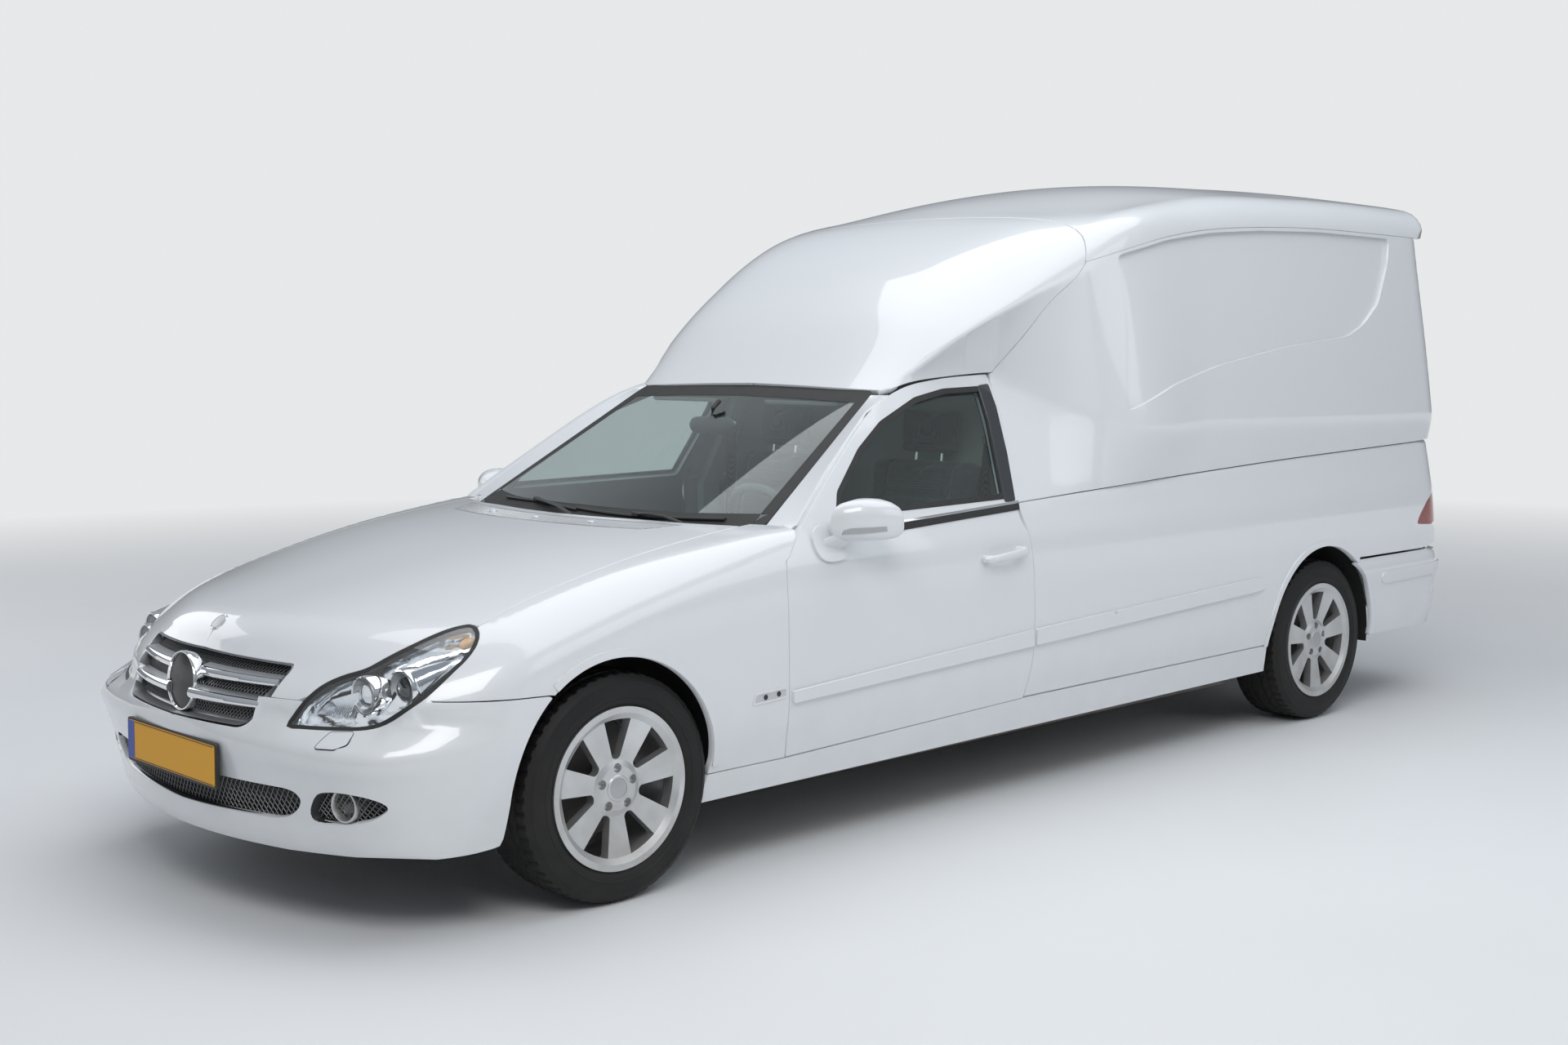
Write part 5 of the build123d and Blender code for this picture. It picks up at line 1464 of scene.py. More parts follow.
def glass_parts():
    edge = line(round_corners(full(SCREEN_EDGE), 0.02), closed=True)
    panel(
        "windscreen_glass", "glass", [("front", edge)], SCREEN_WAY, screen_field, depth=0.005, sides="one",
        back="glass", replaces="windscreen",
    )
    panel(
        "windscreen_band", "rubber", [("front", grown(edge, 0.003))], SCREEN_WAY, screen_field, 0.0012,
        holes=[[("front", line(grown(edge, -0.034), closed=True))]], depth=0.004, sides="one",
    )
    pillar = [
        (1.73, 1.374), (1.784, 1.379), (1.779, 1.3), (1.742, 1.15), (1.69, 0.998), (1.64, 0.999), (1.716, 1.262),
    ]
    panel(
        pair("pillar_cover"), "dark_glass", patch("side", pillar, 0.008), SIDEWAYS, quarter_field, 0.0035, body=DOORS,
        depth=0.01,
    )
    belt = [(0.905, 0.958), (1.30, 0.974), (1.702, 0.991), (1.697, 0.970), (1.30, 0.953), (0.915, 0.936)]
    panel(
        pair("belt_strip"), "rubber", [("side", line(belt, closed=True))], SIDEWAYS, quarter_field, 0.004, body=DOORS,
        depth=0.01,
    )
    bright = [(0.912, 0.966), (1.30, 0.981), (1.702, 0.998), (1.701, 0.992), (1.30, 0.975), (0.910, 0.960)]
    panel(
        pair("bright_belt"), "chrome", [("side", line(bright, closed=True))], SIDEWAYS, quarter_field, 0.006,
        body=DOORS, depth=0.008,
    )


MOULDING_OUT = 0.011


def moulding_parts():
    door = [(0.628, 0.474), (1.728, 0.514), (1.728, 0.567), (0.628, 0.508)]
    quarter = [
        (1.744, 0.515), (3.06, 0.566), (3.098, 0.574), (3.107, 0.592), (3.095, 0.612), (3.06, 0.616), (1.744, 0.568),
    ]
    panel(
        pair("door_moulding"), "paint", patch("side", door, 0.005), SIDEWAYS, quarter_field, MOULDING_OUT, body=DOORS,
        depth=0.016, step=0.03,
    )
    panel(
        "quarter_mouldings", "paint", patch("side", quarter, 0.006), SIDEWAYS, quarter_field, MOULDING_OUT,
        depth=0.016, step=0.03,
    )
    for low, high, field, name in ((0.349, 0.371, front_field, "front"), (0.376, 0.398, quarter_field, "rear")):
        (y, z), _ = FRONT_ARCH if name == "front" else REAR_ARCH
        start, end = (126, -2) if name == "front" else (50, 178)
        ring = [*arc(((y, z), low), start, end), *arc(((y, z), high), end, start)]
        panel(f"arch_lips_{name}", "paint", [("side", ring)], SIDEWAYS, field, 0.0045, depth=0.006, step=0.02)


def wing_recess():
    """The empty recess of each wing's side badge, whose floor and two fixing holes are darkened as painted shade."""
    ring = line(round_corners([(0.468, 0.486), (0.606, 0.492), (0.606, 0.524), (0.480, 0.520)], 0.010), closed=True)
    # The recess floor takes the darker copy of the paint: painted shade.
    panel(
        "wing_recesses", "paint_in_shaded", [("side", grown(ring, -0.004))], SIDEWAYS, front_field, 0.0008, depth=0.003,
        step=0.02,
    )
    panel(
        "wing_recess_lips", "paint", [("side", ring)], SIDEWAYS, front_field, 0.0028,
        holes=[[("side", grown(ring, -0.0045))]], depth=0.005, step=0.02,
    )
    # Black gloss discs stand for the fixing holes: painted shade.
    holes = Form("wing_recess_hole_shades")
    for y, z in ((0.520, 0.505), (0.572, 0.508)):
        place, out = surface_point("side", (y, z), front_field, 0.0010)
        holes.lathe(place, out, [(0.0078, -0.002), (0.0078, 0.0008), (0.0066, 0.0012), (0.0005, 0.0010)], "gloss", 24)
    holes.mirrored().done()


def handle_parts():
    for side, name in ((1, "left"), (-1, "right")):
        form = Form(f"door_handle_{name}", f"door_{name}")
        rings = []
        for y in np.linspace(1.476, 1.684, 26):
            t = (y - 1.476) / 0.208
            z = 0.822 + 0.016 * t
            lift = 0.034 * min(1.0, 6.5 * min(t + 0.02, 1.04 - t)) ** 0.5
            tall = 0.0125 + 0.003 * t if 0.02 < t < 0.98 else 0.008
            base, _ = surface_point("side", (y, z), quarter_field)
            middle = base + np.array([lift, 0, 0])
            rings.append([
                side * np.array([1, 0, 0]) * (middle[0] + 0.008 * cos(w)) + np.array([0, y, z + tall * sin(w)])
                for w in around(14)
            ])
        form.rings(rings, "paint", caps=True)
        for y, z, r in ((1.494, 0.823, 0.014), (1.660, 0.836, 0.017)):
            base, _ = surface_point("side", (y, z), quarter_field)
            base = base * np.array([side, 1, 1])
            form.lathe(base, (side, 0, 0), [(r, -0.004), (r, 0.026), (r * 0.8, 0.030)], "paint", 24)
        base, _ = surface_point("side", (1.660, 0.8365), quarter_field, 0.031)
        form.lathe(
            base * np.array([side, 1, 1]), (side, 0, 0),
            [(0.0085, -0.004), (0.0085, 0.001), (0.007, 0.0015), (0.001, 0.0015)], "iron", 20,
        )
        form.done(slot="white_paint")
        cup = [
            (1.515, 0.826), (1.53, 0.858), (1.565, 0.878), (1.61, 0.88), (1.648, 0.866), (1.664, 0.838),
            (1.64, 0.806), (1.59, 0.792), (1.545, 0.798),
        ]
        if side == 1:
            panel(
                pair("handle_cup"), "paint", [("side", curve(cup, closed=True))], SIDEWAYS, quarter_field, 0.0006,
                body=DOORS, depth=0.003, step=0.02,
            )


# The share of the mirror behind its widest line, and how square its section is
MIRROR_REAR = 0.35
MIRROR_ROUND = 0.77


def mirror_front(x, z):
    """How far forward the mirror's shell comes at x and z."""
    xs, fronts, backs, mids, halves = (np.array(column) for column in zip(*MIRROR_ROWS))
    front, back, mid, half = (np.interp(x, xs, v) for v in (fronts, backs, mids, halves))
    reach = max(0.0, 1.0 - (abs(z - mid) / half) ** 2.6) ** 0.385
    return back - MIRROR_REAR * (back - front) - (1 - MIRROR_REAR) * (back - front) * reach


def mirror_parts():
    for side, name in ((1, "left"), (-1, "right")):
        form = Form(f"wing_mirror_{name}", f"door_{name}")
        rings = []
        for x, front, back, mid, half in MIRROR_ROWS:
            split = back - MIRROR_REAR * (back - front)
            ring = []
            for w in around(40):
                c, s = cos(w), sin(w)
                a, b = abs(c) ** MIRROR_ROUND * np.sign(c), abs(s) ** MIRROR_ROUND * np.sign(s)
                depth = back - split if a > 0 else split - front
                ring.append((side * x, split + depth * (a if a < 0 else min(1.0, 1.5 * a)), mid + half * b))
            rings.append(ring)
        form.rings(rings, "paint", caps=True)
        glass = round_corners([(0.912, 1.038), (0.985, 1.044), (1.010, 0.998), (1.004, 0.952), (0.925, 0.944)], 0.018)
        xs, backs = [row[0] for row in MIRROR_ROWS], [row[2] for row in MIRROR_ROWS]
        form.slab(
            [(side * x, np.interp(x, xs, backs) + 0.0016, z) for x, z in glass], (-0.42 * side, 1, 0), 0.003,
            "mirror", 0.0008,
        )
        for edge, lift, finish in ((0.0, 0.0022, "lens"), (0.0015, 0.0008, "satin")):
            sheet = []
            for x in np.linspace(0.941 + edge, 1.0190 - edge, 26):
                low = np.interp(x, (0.940, 0.985, 1.0235), (0.9575, 0.9595, 0.9650)) + edge
                high = np.interp(x, (0.940, 0.950, 0.965, 1.0235), (0.9600, 0.9740, 0.9805, 0.9830)) - edge
                outer = [(side * x, mirror_front(x, z) - lift, z) for z in np.linspace(low, high, 7)]
                sheet.append(outer + [(a, b + 0.0035, c) for a, b, c in reversed(outer)])
            form.rings(sheet, finish, caps=True)
        stalk = []
        for t in np.linspace(0, 1, 9):
            cx, cy, cz = 0.862 + 0.07 * t, 0.800 + 0.050 * t, 0.908 + 0.050 * t
            w0, h0 = 0.052 - 0.010 * t, 0.034 - 0.008 * t
            stalk.append([(side * (cx + 0.4 * h0 * sin(w)), cy + w0 * cos(w), cz + h0 * sin(w)) for w in around(24)])
        form.rings(stalk, "paint", caps=True)
        pad = [
            (0.735, 0.955), (0.745, 0.905), (0.775, 0.88), (0.83, 0.878), (0.858, 0.893), (0.82, 0.955),
            (0.77, 0.985),
        ]
        form.done(replaces=(f"mirror_{name}",), slot="white_paint")
        if side == 1:
            panel(
                pair("mirror_foot"), "paint", [("side", curve(pad, closed=True))], SIDEWAYS, quarter_field, 0.01,
                body=DOORS, depth=0.012, step=0.02,
            )


def wiper_parts():
    form = Form("wiper_set")
    for pivot, ends in (
        ((0.52, 0.552), [(0.6, 0.982), (0.3, 0.979), (0.005, 0.988)]),
        ((0.05, 0.487), [(0.02, 0.984), (-0.22, 0.993), (-0.5, 0.989)]),
    ):
        blade = trace("front", curve([(x, z + 0.012) for x, z in ends]), screen_field, 0.01)
        form.tube(blade, 0.0075, "black", sides=8, flat=0.7)
        lip = trace("front", curve([(x, z + 0.012) for x, z in ends]), screen_field, 0.003)
        form.tube(lip, 0.0028, "rubber", sides=5)
        middle = blade[len(blade) // 2] + np.array([0, -0.006, 0.008])
        start = np.array([pivot[0], pivot[1] - 0.012, 0.983])
        side = 1 if pivot[0] > 0.3 else 0.6
        knee = start + (middle - start) * 0.35 + np.array([0, -0.004, 0.010])
        form.tube(
            [start, knee, (knee + middle) / 2 + np.array([0, -0.002, 0.004 * side]), middle], 0.0085, "black",
            sides=8, flat=0.6,
        )
        form.lathe(
            start + np.array([0, 0, -0.02]), (0, -0.25, 1),
            [(0.016, -0.03), (0.016, 0.012), (0.012, 0.02), (0.001, 0.023)], "black", 20,
        )
        form.box(middle - np.array([0.016, 0.007, 0.009]), middle + np.array([0.016, 0.007, 0.006]), "black", 0.003)
    form.done(replaces=("wipers",))


COWL_FRONT = ([0, 0.19, 0.37, 0.54, 0.715], [0.460, 0.470, 0.505, 0.548, 0.640])


def cowl_height(x):
    return 0.986 - 0.016 * (abs(x) / 0.7) ** 2


def louvre_line(x, t):
    """How far back a louvre lies at x, where t runs from the rear louvre to the front one."""
    return 0.408 - 0.070 * t + 0.085 * (abs(x) / 0.55) ** 2


def cowl_parts():
    """The black cowl under the windscreen's foot, and the air louvres in the hood."""
    form = Form("cowl_grille")
    xs = np.linspace(-0.715, 0.715, 61)
    front = np.interp(np.abs(xs), *COWL_FRONT)
    back = np.interp(np.abs(xs), [0, 0.30, 0.55, 0.715], [0.505, 0.530, 0.590, 0.680])
    rows = [
        [(x, f + (b - f) * t, cowl_height(x) - drop) for x, f, b in zip(xs, front, back)]
        for t, drop in ((0.0, 0.030), (0.02, 0.022), (0.25, 0.024), (0.5, 0.026), (0.75, 0.024), (1.0, 0.020))
    ]
    form.rings(rows, "black", closed=False)
    for x in np.linspace(-0.66, 0.66, 67):
        y, z = float(np.interp(abs(x), *COWL_FRONT)), cowl_height(x) - 0.024
        form.box((x - 0.004, y + 0.010, z), (x + 0.004, y + 0.038, z + 0.005), "black", 0.0012)
    form.done()
    louvres = Form("hood_louvres", "hood")
    for k in range(6):
        t = k / 5
        half = 0.545 - 0.05 * t
        xs = np.linspace(-half, half, 45)
        path = trace("top", [(x, louvre_line(x, t)) for x in xs], front_field)
        profile = [(0.005, -0.0035), (0.005, 0.0004), (0.001, 0.0022), (-0.004, 0.0018), (-0.0052, -0.0035)]
        louvres.rings([[p + np.array([0, d, h]) for d, h in profile] for p in path], "paint", caps=True)
    for x in (-0.26, 0.0, 0.26):
        p = trace("top", [(x, louvre_line(x, 0.55))], front_field)[0]
        louvres.box(p + np.array([-0.013, -0.008, -0.002]), p + np.array([0.013, 0.008, 0.0065]), "paint", 0.003)
    louvres.done(slot="white_paint")
    top = curve([(0.0, 0.418), (0.2, 0.431), (0.4, 0.466), (0.56, 0.51)]) + curve(
        [(0.5, 0.398), (0.35, 0.358), (0.18, 0.333), (0.0, 0.328)]
    )
    panel(
        "louvre_bed", "satin", [("top", top), ("top", line([(0, 0.335), (0, 0.41)]))], (0, 0.1, -1), front_field,
        0.0006, body="hood", depth=0.002, middle=True, step=0.03,
    )


def rear_details():
    end = [(4.5, 0.512), (4.02, 0.506), (3.985, 0.512), (3.975, 0.53), (3.985, 0.55), (4.02, 0.556), (4.5, 0.562)]
    guard = [
        ("side", line(end)),
        ("rear", line([(0.78, 0.562), (0.02, 0.562)])), ("rear", line([(0, 0.562), (0, 0.514)])),
        ("rear", line([(0.02, 0.512), (0.78, 0.512)])),
    ]
    shelf = Form("rear_bumper_shelf")
    rings = []
    for x in np.linspace(-0.862, 0.862, 41):
        y = trace("rear", [(abs(x), 0.600)], bumper_field)[0][1] - 0.004
        rings.append([(x, y, 0.6135), (x, 4.500, 0.6135), (x, 4.500, 0.606), (x, y, 0.606)])
    shelf.rings(rings, "paint", caps=True)
    step = [
        [(x, y - 0.012, 0.6128), (x, y - 0.012, 0.6150), (x, 4.575, 0.6150), (x, 4.575, 0.6128)]
        for x, y, _ in (ring[0] for ring in rings) if abs(x) < 0.55
    ]
    shelf.rings(step, "black", caps=True)
    shelf.done()
    panel("rear_bumper_guard", "paint", guard, TAIL_WAY, bumper_field, 0.005, middle=True, depth=0.014, step=0.03)
    lamp = [("side", curve(TAIL_LAMP_SIDE)), ("rear", line(TAIL_LAMP_REAR))]
    panel(
        "tail_lamp_lenses", "red", lamp, (-0.8, -0.6, 0), quarter_field, -0.001, depth=0.03, step=0.025,
        replaces="tail_lamps",
    )
    band = [(0.835, 0.868), (0.80, 0.876), (0.755, 0.884), (0.755, 0.842), (0.80, 0.836), (0.835, 0.832)]
    panel(
        "tail_lamp_bands", "dark_glass", [("rear", line(band, closed=True))], (-0.6, -0.8, 0), quarter_field, 0.0004,
        depth=0.004, step=0.02,
    )
    white = [(0.828, 0.786), (0.755, 0.782), (0.755, 0.736), (0.828, 0.742)]
    panel(
        "reversing_lenses", "lens", patch("rear", white, 0.008), (-0.6, -0.8, 0), quarter_field, 0.0005, depth=0.003,
        step=0.02,
    )
    place, _ = surface_point("rear", (0.0, 0.82), tail_field)
    plate_form("rear_plate", (0, place[1] + 0.014, 0.82), (0, 1, 0.03), "tailgate")
    grip = Form("tailgate_grip", "tailgate")
    place, _ = surface_point("rear", (0.0, 0.955), tail_field)
    grip.box((-0.30, place[1] - 0.004, 0.935), (0.30, place[1] + 0.026, 0.972), "paint", 0.008)
    for x in (-0.16, 0.16):
        grip.box((x - 0.03, place[1] + 0.004, 0.929), (x + 0.03, place[1] + 0.018, 0.937), "lens", 0.002)
    grip.done(slot="white_paint")
    high = Form("high_stop_lamp")
    place, _ = surface_point("rear", (0.0, 2.01), roof_field)
    high.box((-0.16, place[1] - 0.012, 1.998), (0.16, place[1] + 0.003, 2.020), "red", 0.004)
    high.done()


# Cabin

SEAT_MIDDLE = 0.370
PAD_VOXEL, PAD_FRAMES, PAD_LIMIT = 0.009, 20, 0.024
# The rounding of a start block, its stations, and how much shorter and thinner its ends are
PAD_CORNER, PAD_STATIONS, PAD_END_SHORT, PAD_END_THIN = 0.04, 31, 0.07, 0.55
CHANNEL_WIDTH, CHANNEL_DEPTH, CHANNEL_REACH = 0.008, 0.011, 0.152
# Each pad: half width, side profile in y and z, and how far its start shape is drawn in
SEAT_PADS = {
    "seat_cushion": (
        0.255, [(1.122, 0.446), (1.608, 0.404), (1.616, 0.518), (1.37, 0.536), (1.14, 0.568), (1.122, 0.53)], 0.02,
    ),
    "seat_back": (
        0.255,
        [(1.622, 0.524), (1.688, 0.518), (1.762, 0.78), (1.848, 1.088), (1.8, 1.106), (1.766, 1.096), (1.7, 0.82)],
        0.016,
    ),
    "head_rest": (
        0.13, [(1.776, 1.142), (1.836, 1.128), (1.846, 1.2), (1.848, 1.266), (1.8, 1.28), (1.782, 1.21)], 0.012,
    ),
}


def coordinates(mesh):
    return np.array([v.co[:] for v in mesh.vertices])


def swollen(obj, limit):
    """Blows a closed mesh up as cloth under pressure, no point moving further than limit."""
    scene = bpy.context.scene
    bpy.context.view_layer.objects.active = obj
    before = coordinates(obj.data)
    cloth = obj.modifiers.new("pad", "CLOTH")
    cloth.settings.quality = 5
    cloth.settings.mass = 0.3
    cloth.settings.use_pressure = True
    cloth.settings.uniform_pressure_force = 4.0
    cloth.settings.tension_stiffness = cloth.settings.compression_stiffness = 15.0
    cloth.settings.effector_weights.gravity = 0.0
    cloth.point_cache.frame_start, cloth.point_cache.frame_end = 1, PAD_FRAMES
    for frame in range(1, PAD_FRAMES + 1):
        scene.frame_set(frame)
    state = obj.evaluated_get(bpy.context.evaluated_depsgraph_get())
    after = coordinates(state.data)
    obj.modifiers.remove(cloth)
    scene.frame_set(1)
    if after.shape != before.shape:
        raise RuntimeError("the pad's cloth has lost points")
    move = after - before
    far = np.linalg.norm(move, axis=1)
    move *= np.minimum(1.0, limit / np.maximum(far, 1e-9))[:, None]
    return before + move


def seat_pad(kind):
    """One pad of the left seat: a drawn-in block, swollen, fitted to its room, with sewn channels pressed in."""
    half, profile, inset = SEAT_PADS[kind]
    side = np.array(grown(line(round_corners(profile, PAD_CORNER), closed=True), -inset))
    middle = side.mean(0)
    long_way = np.linalg.svd(side - middle)[2][0]
    across = np.array([-long_way[1], long_way[0]])
    points, faces = [], []
    stations = np.sin(np.linspace(-pi / 2, pi / 2, PAD_STATIONS))
    for s in stations:
        along = (side - middle) @ long_way * (1 - PAD_END_SHORT * s ** 6)
        thick = (side - middle) @ across * (1 - PAD_END_THIN * s ** 6)
        loop = middle + along[:, None] * long_way + thick[:, None] * across
        points += [(SEAT_MIDDLE + s * (half - inset), y, z) for y, z in loop]
    n = len(side)
    for i in range(len(stations) - 1):
        faces += [[i * n + k, i * n + (k + 1) % n, (i + 1) * n + (k + 1) % n, (i + 1) * n + k] for k in range(n)]
    faces += [list(range(n))[::-1], [(len(stations) - 1) * n + k for k in range(n)]]
    obj = make_object(f"{kind}_left", np.array(points) + AXLE, faces)
    bpy.context.view_layer.objects.active = obj
    remesh = obj.modifiers.new("remesh", "REMESH")
    remesh.mode, remesh.voxel_size = "VOXEL", PAD_VOXEL
    bpy.ops.object.modifier_apply(modifier=remesh.name)
    shape = swollen(obj, PAD_LIMIT)
    low = np.array([SEAT_MIDDLE - half, min(y for y, _ in profile), min(z for _, z in profile)]) + AXLE
    high = np.array([SEAT_MIDDLE + half, max(y for y, _ in profile), max(z for _, z in profile)]) + AXLE
    shape = low + (shape - shape.min(0)) / (shape.max(0) - shape.min(0)) * (high - low)
    place = shape - AXLE
    press = np.zeros(len(shape))
    if kind == "seat_cushion":
        inward, near = np.array([0, 0, -1.0]), place[:, 2] > 0.49
        lines = [(0, SEAT_MIDDLE - 0.150), (0, SEAT_MIDDLE + 0.150), (1, 1.250), (1, 1.350), (1, 1.450), (1, 1.545)]
    elif kind == "seat_back":
        inward, near = np.array([0, 1.0, -0.25]), place[:, 1] < np.interp(place[:, 2], [0.52, 1.10], [1.655, 1.805])
        lines = [(0, SEAT_MIDDLE - 0.150), (0, SEAT_MIDDLE + 0.150), (2, 0.640), (2, 0.750), (2, 0.860), (2, 0.985)]
    else:
        inward, near, lines = np.array([0, 1.0, 0]), place[:, 1] < 1.812, [(2, 1.165)]
    for axis, at in lines:
        cross = np.exp(-((place[:, axis] - at) / CHANNEL_WIDTH) ** 2)
        if axis:
            cross *= np.clip((CHANNEL_REACH - np.abs(place[:, 0] - SEAT_MIDDLE)) / 0.006, 0, 1)
        press = np.maximum(press, cross)
    shape = shape + inward * (CHANNEL_DEPTH * press * near)[:, None]
    obj.data.vertices.foreach_set("co", shape.ravel())
    obj.data.update()
    smooth = obj.modifiers.new("smooth", "SUBSURF")
    smooth.levels = smooth.render_levels = 1
    bpy.ops.object.modifier_apply(modifier=smooth.name)
    obj.data.polygons.foreach_set("use_smooth", [True] * len(obj.data.polygons))
    obj.data.materials.append(M["cloth"])
    twin = bpy.data.objects.new(f"{kind}_right", obj.data.copy())
    bpy.context.scene.collection.objects.link(twin)
    coords = coordinates(twin.data) * np.array([-1, 1, 1])
    twin.data.vertices.foreach_set("co", coords.ravel())
    twin.data.flip_normals()
    for pad in (obj, twin):
        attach(pad, "body")
    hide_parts({"seat_cushion": "seat_cushions", "seat_back": "seat_backs", "head_rest": "head_rests"}[kind])


def seat_trim():
    """Piping, head rest rods, side covers and belt buckles."""
    form = Form("seat_trim")
    for x in (SEAT_MIDDLE - 0.060, SEAT_MIDDLE + 0.060):
        form.tube([(x, 1.798, 1.070), (x, 1.806, 1.110), (x, 1.812, 1.150)], 0.006, "chrome", sides=12)
    for x in (SEAT_MIDDLE - 0.247, SEAT_MIDDLE + 0.247):
        form.tube(
            [(x, y, z) for y, z in ((1.15, 0.572), (1.26, 0.558), (1.38, 0.545), (1.5, 0.532), (1.59, 0.524))],
            0.0032, "black", sides=7,
        )
    for x, sign in ((SEAT_MIDDLE - 0.262, -1), (SEAT_MIDDLE + 0.262, 1)):
        cover = round_corners([(1.2, 0.3), (1.66, 0.3), (1.7, 0.43), (1.62, 0.47), (1.4, 0.44), (1.2, 0.43)], 0.025)
        form.slab([(x, y, z) for y, z in cover], (sign, 0, 0), 0.010, "black", 0.003)
    buckle = SEAT_MIDDLE - 0.285
    form.tube([(buckle, 1.60, 0.36), (buckle, 1.585, 0.44), (buckle + 0.004, 1.570, 0.50)], 0.008, "black", sides=10)
    form.box((buckle - 0.012, 1.548, 0.495), (buckle + 0.014, 1.590, 0.560), "black", 0.004)
    form.box((buckle - 0.007, 1.556, 0.558), (buckle + 0.009, 1.582, 0.563), "red", 0.001)
    strap = [(0.66, 1.79, 1.19), (0.65, 1.782, 1.08), (0.655, 1.78, 0.9), (0.664, 1.778, 0.64), (0.672, 1.776, 0.36)]
    ways = np.array(strap)
    for a in (0.0225, -0.0225):
        form.tube([w + np.array([0, a, 0]) for w in ways], 0.0012, "black", sides=6)
    rings = [[w + np.array([0.0012 * cos(t), 0.0225 * sin(t), 0]) for t in around(12)] for w in ways]
    form.rings(rings, "belt", caps=True)
    form.box((0.648, 1.758, 1.168), (0.672, 1.822, 1.206), "grey_plastic", 0.006)
    form.mirrored().done()


DASH = [
    (0.662, 0.918), (0.720, 0.936), (0.790, 0.946), (0.850, 0.944), (0.895, 0.926), (0.920, 0.892), (0.928, 0.850),
    (0.918, 0.800), (0.880, 0.765), (0.830, 0.738), (0.750, 0.712), (0.662, 0.712),
]


def dash_parts():
    dash = Form("dash_board")
    rings = []
    for x in np.linspace(-0.732, 0.732, 61):
        cowl = np.exp(-((x - 0.370) / 0.150) ** 4)
        middle = np.exp(-(x / 0.160) ** 4)
        end = 1.0 - 0.3 * max(0.0, (abs(x) - 0.70) / 0.032)
        ring = []
        for y, z in line(round_corners(DASH, 0.02), closed=True):
            lift = 0.026 * cowl * np.exp(-((y - 0.865) / 0.045) ** 2) * (z > 0.88)
            out = 0.012 * middle * np.exp(-((z - 0.82) / 0.09) ** 2) * (y > 0.87)
            ring.append((x, 0.80 + (y + out - 0.80) * end, 0.83 + (z + lift - 0.83) * end))
        rings.append(ring)
    dash.rings(rings, "grey_plastic", caps=True)
    face = (0, 0.93, 0.36)
    for x0, x1 in ((-0.690, -0.575), (-0.105, -0.012), (0.012, 0.105), (0.575, 0.690)):
        ring = round_corners([(x0, 0.852), (x1, 0.852), (x1, 0.900), (x0, 0.900)], 0.010)
        dash.slab([(x, 0.9445 - 0.40 * (z - 0.85), z) for x, z in ring], face, 0.020, "black", 0.002)
        for k in range(4):
            z = 0.861 + 0.010 * k
            y = 0.947 - 0.4 * (z - 0.85)
            dash.tube([(x0 + 0.01, y, z), (x1 - 0.01, y, z)], 0.0024, "satin", sides=6)
    radio = round_corners([(-0.095, 0.742), (0.095, 0.742), (0.095, 0.838), (-0.095, 0.838)], 0.008)
    dash.slab([(x, 0.9470 + 0.05 * (z - 0.78), z) for x, z in radio], (0, 1, -0.05), 0.030, "gloss", 0.002)
    for x in (-0.070, 0.070):
        dash.lathe(
            (x, 0.9475, 0.785), (0, 1, 0), [(0.014, -0.004), (0.014, 0.01), (0.012, 0.012), (0.001, 0.012)], "satin",
            28,
        )
    for k in range(5):
        dash.box((-0.048 + 0.020 * k, 0.944, 0.752), (-0.032 + 0.020 * k, 0.952, 0.764), "grey_plastic", 0.001)
    cluster = round_corners(
        [(0.235, 0.868), (0.505, 0.868), (0.495, 0.925), (0.44, 0.952), (0.3, 0.952), (0.245, 0.925)], 0.02,
    )
    dash.slab([(x, 0.920 - 0.30 * (z - 0.868), z) for x, z in cluster], (0, 0.95, 0.30), 0.010, "gloss", 0.002)
    for x, r in ((0.300, 0.034), (0.370, 0.040), (0.440, 0.034)):
        dash.lathe(
            (x, 0.909, 0.906), (0, 0.95, 0.3), [(r, -0.004), (r, 0.0045), (r - 0.0025, 0.0045), (r - 0.003, 0.001)],
            "satin", 36,
        )
    glove = round_corners([(-0.640, 0.745), (-0.160, 0.745), (-0.160, 0.835), (-0.640, 0.845)], 0.02)
    dash.slab([(x, 0.9290 - 0.05 * (z - 0.79), z) for x, z in glove], (0, 1, 0), 0.016, "grey_plastic", 0.004)
    dash.box((-0.430, 0.928, 0.828), (-0.370, 0.936, 0.838), "satin", 0.003)
    dash.done(replaces=("dashboard",))
    console = Form("centre_console")
    rings = []
    for y, top, half in ((0.880, 0.700, 0.110), (0.940, 0.640, 0.108), (1.040, 0.560, 0.098), (1.180, 0.510, 0.092),
                         (1.400, 0.505, 0.090), (1.560, 0.560, 0.092), (1.640, 0.560, 0.088), (1.668, 0.500, 0.080)):
        section = [(-half, 0.238), (half, 0.238), (half * 0.92, top), (-half * 0.92, top)]
        rings.append([(a, y, b) for a, b in round_corners(section, 0.018)])
    console.rings(rings, "grey_plastic", caps=True)
    console.lathe(
        (0.0, 1.12, 0.53), (0, 0.1, 1), [(0.034, 0.0), (0.026, 0.03), (0.012, 0.055), (0.009, 0.075), (0.001, 0.078)],
        "black", 24,
    )
    console.lathe(
        (0.0, 1.128, 0.612), (0, 0.1, 1),
        [(0.012, -0.01), (0.022, 0.004), (0.024, 0.02), (0.017, 0.034), (0.001, 0.04)], "gloss", 24,
    )
    console.tube([(0.040, 1.430, 0.512), (0.040, 1.350, 0.530), (0.040, 1.280, 0.560)], 0.014, "black", sides=14)
    console.done()


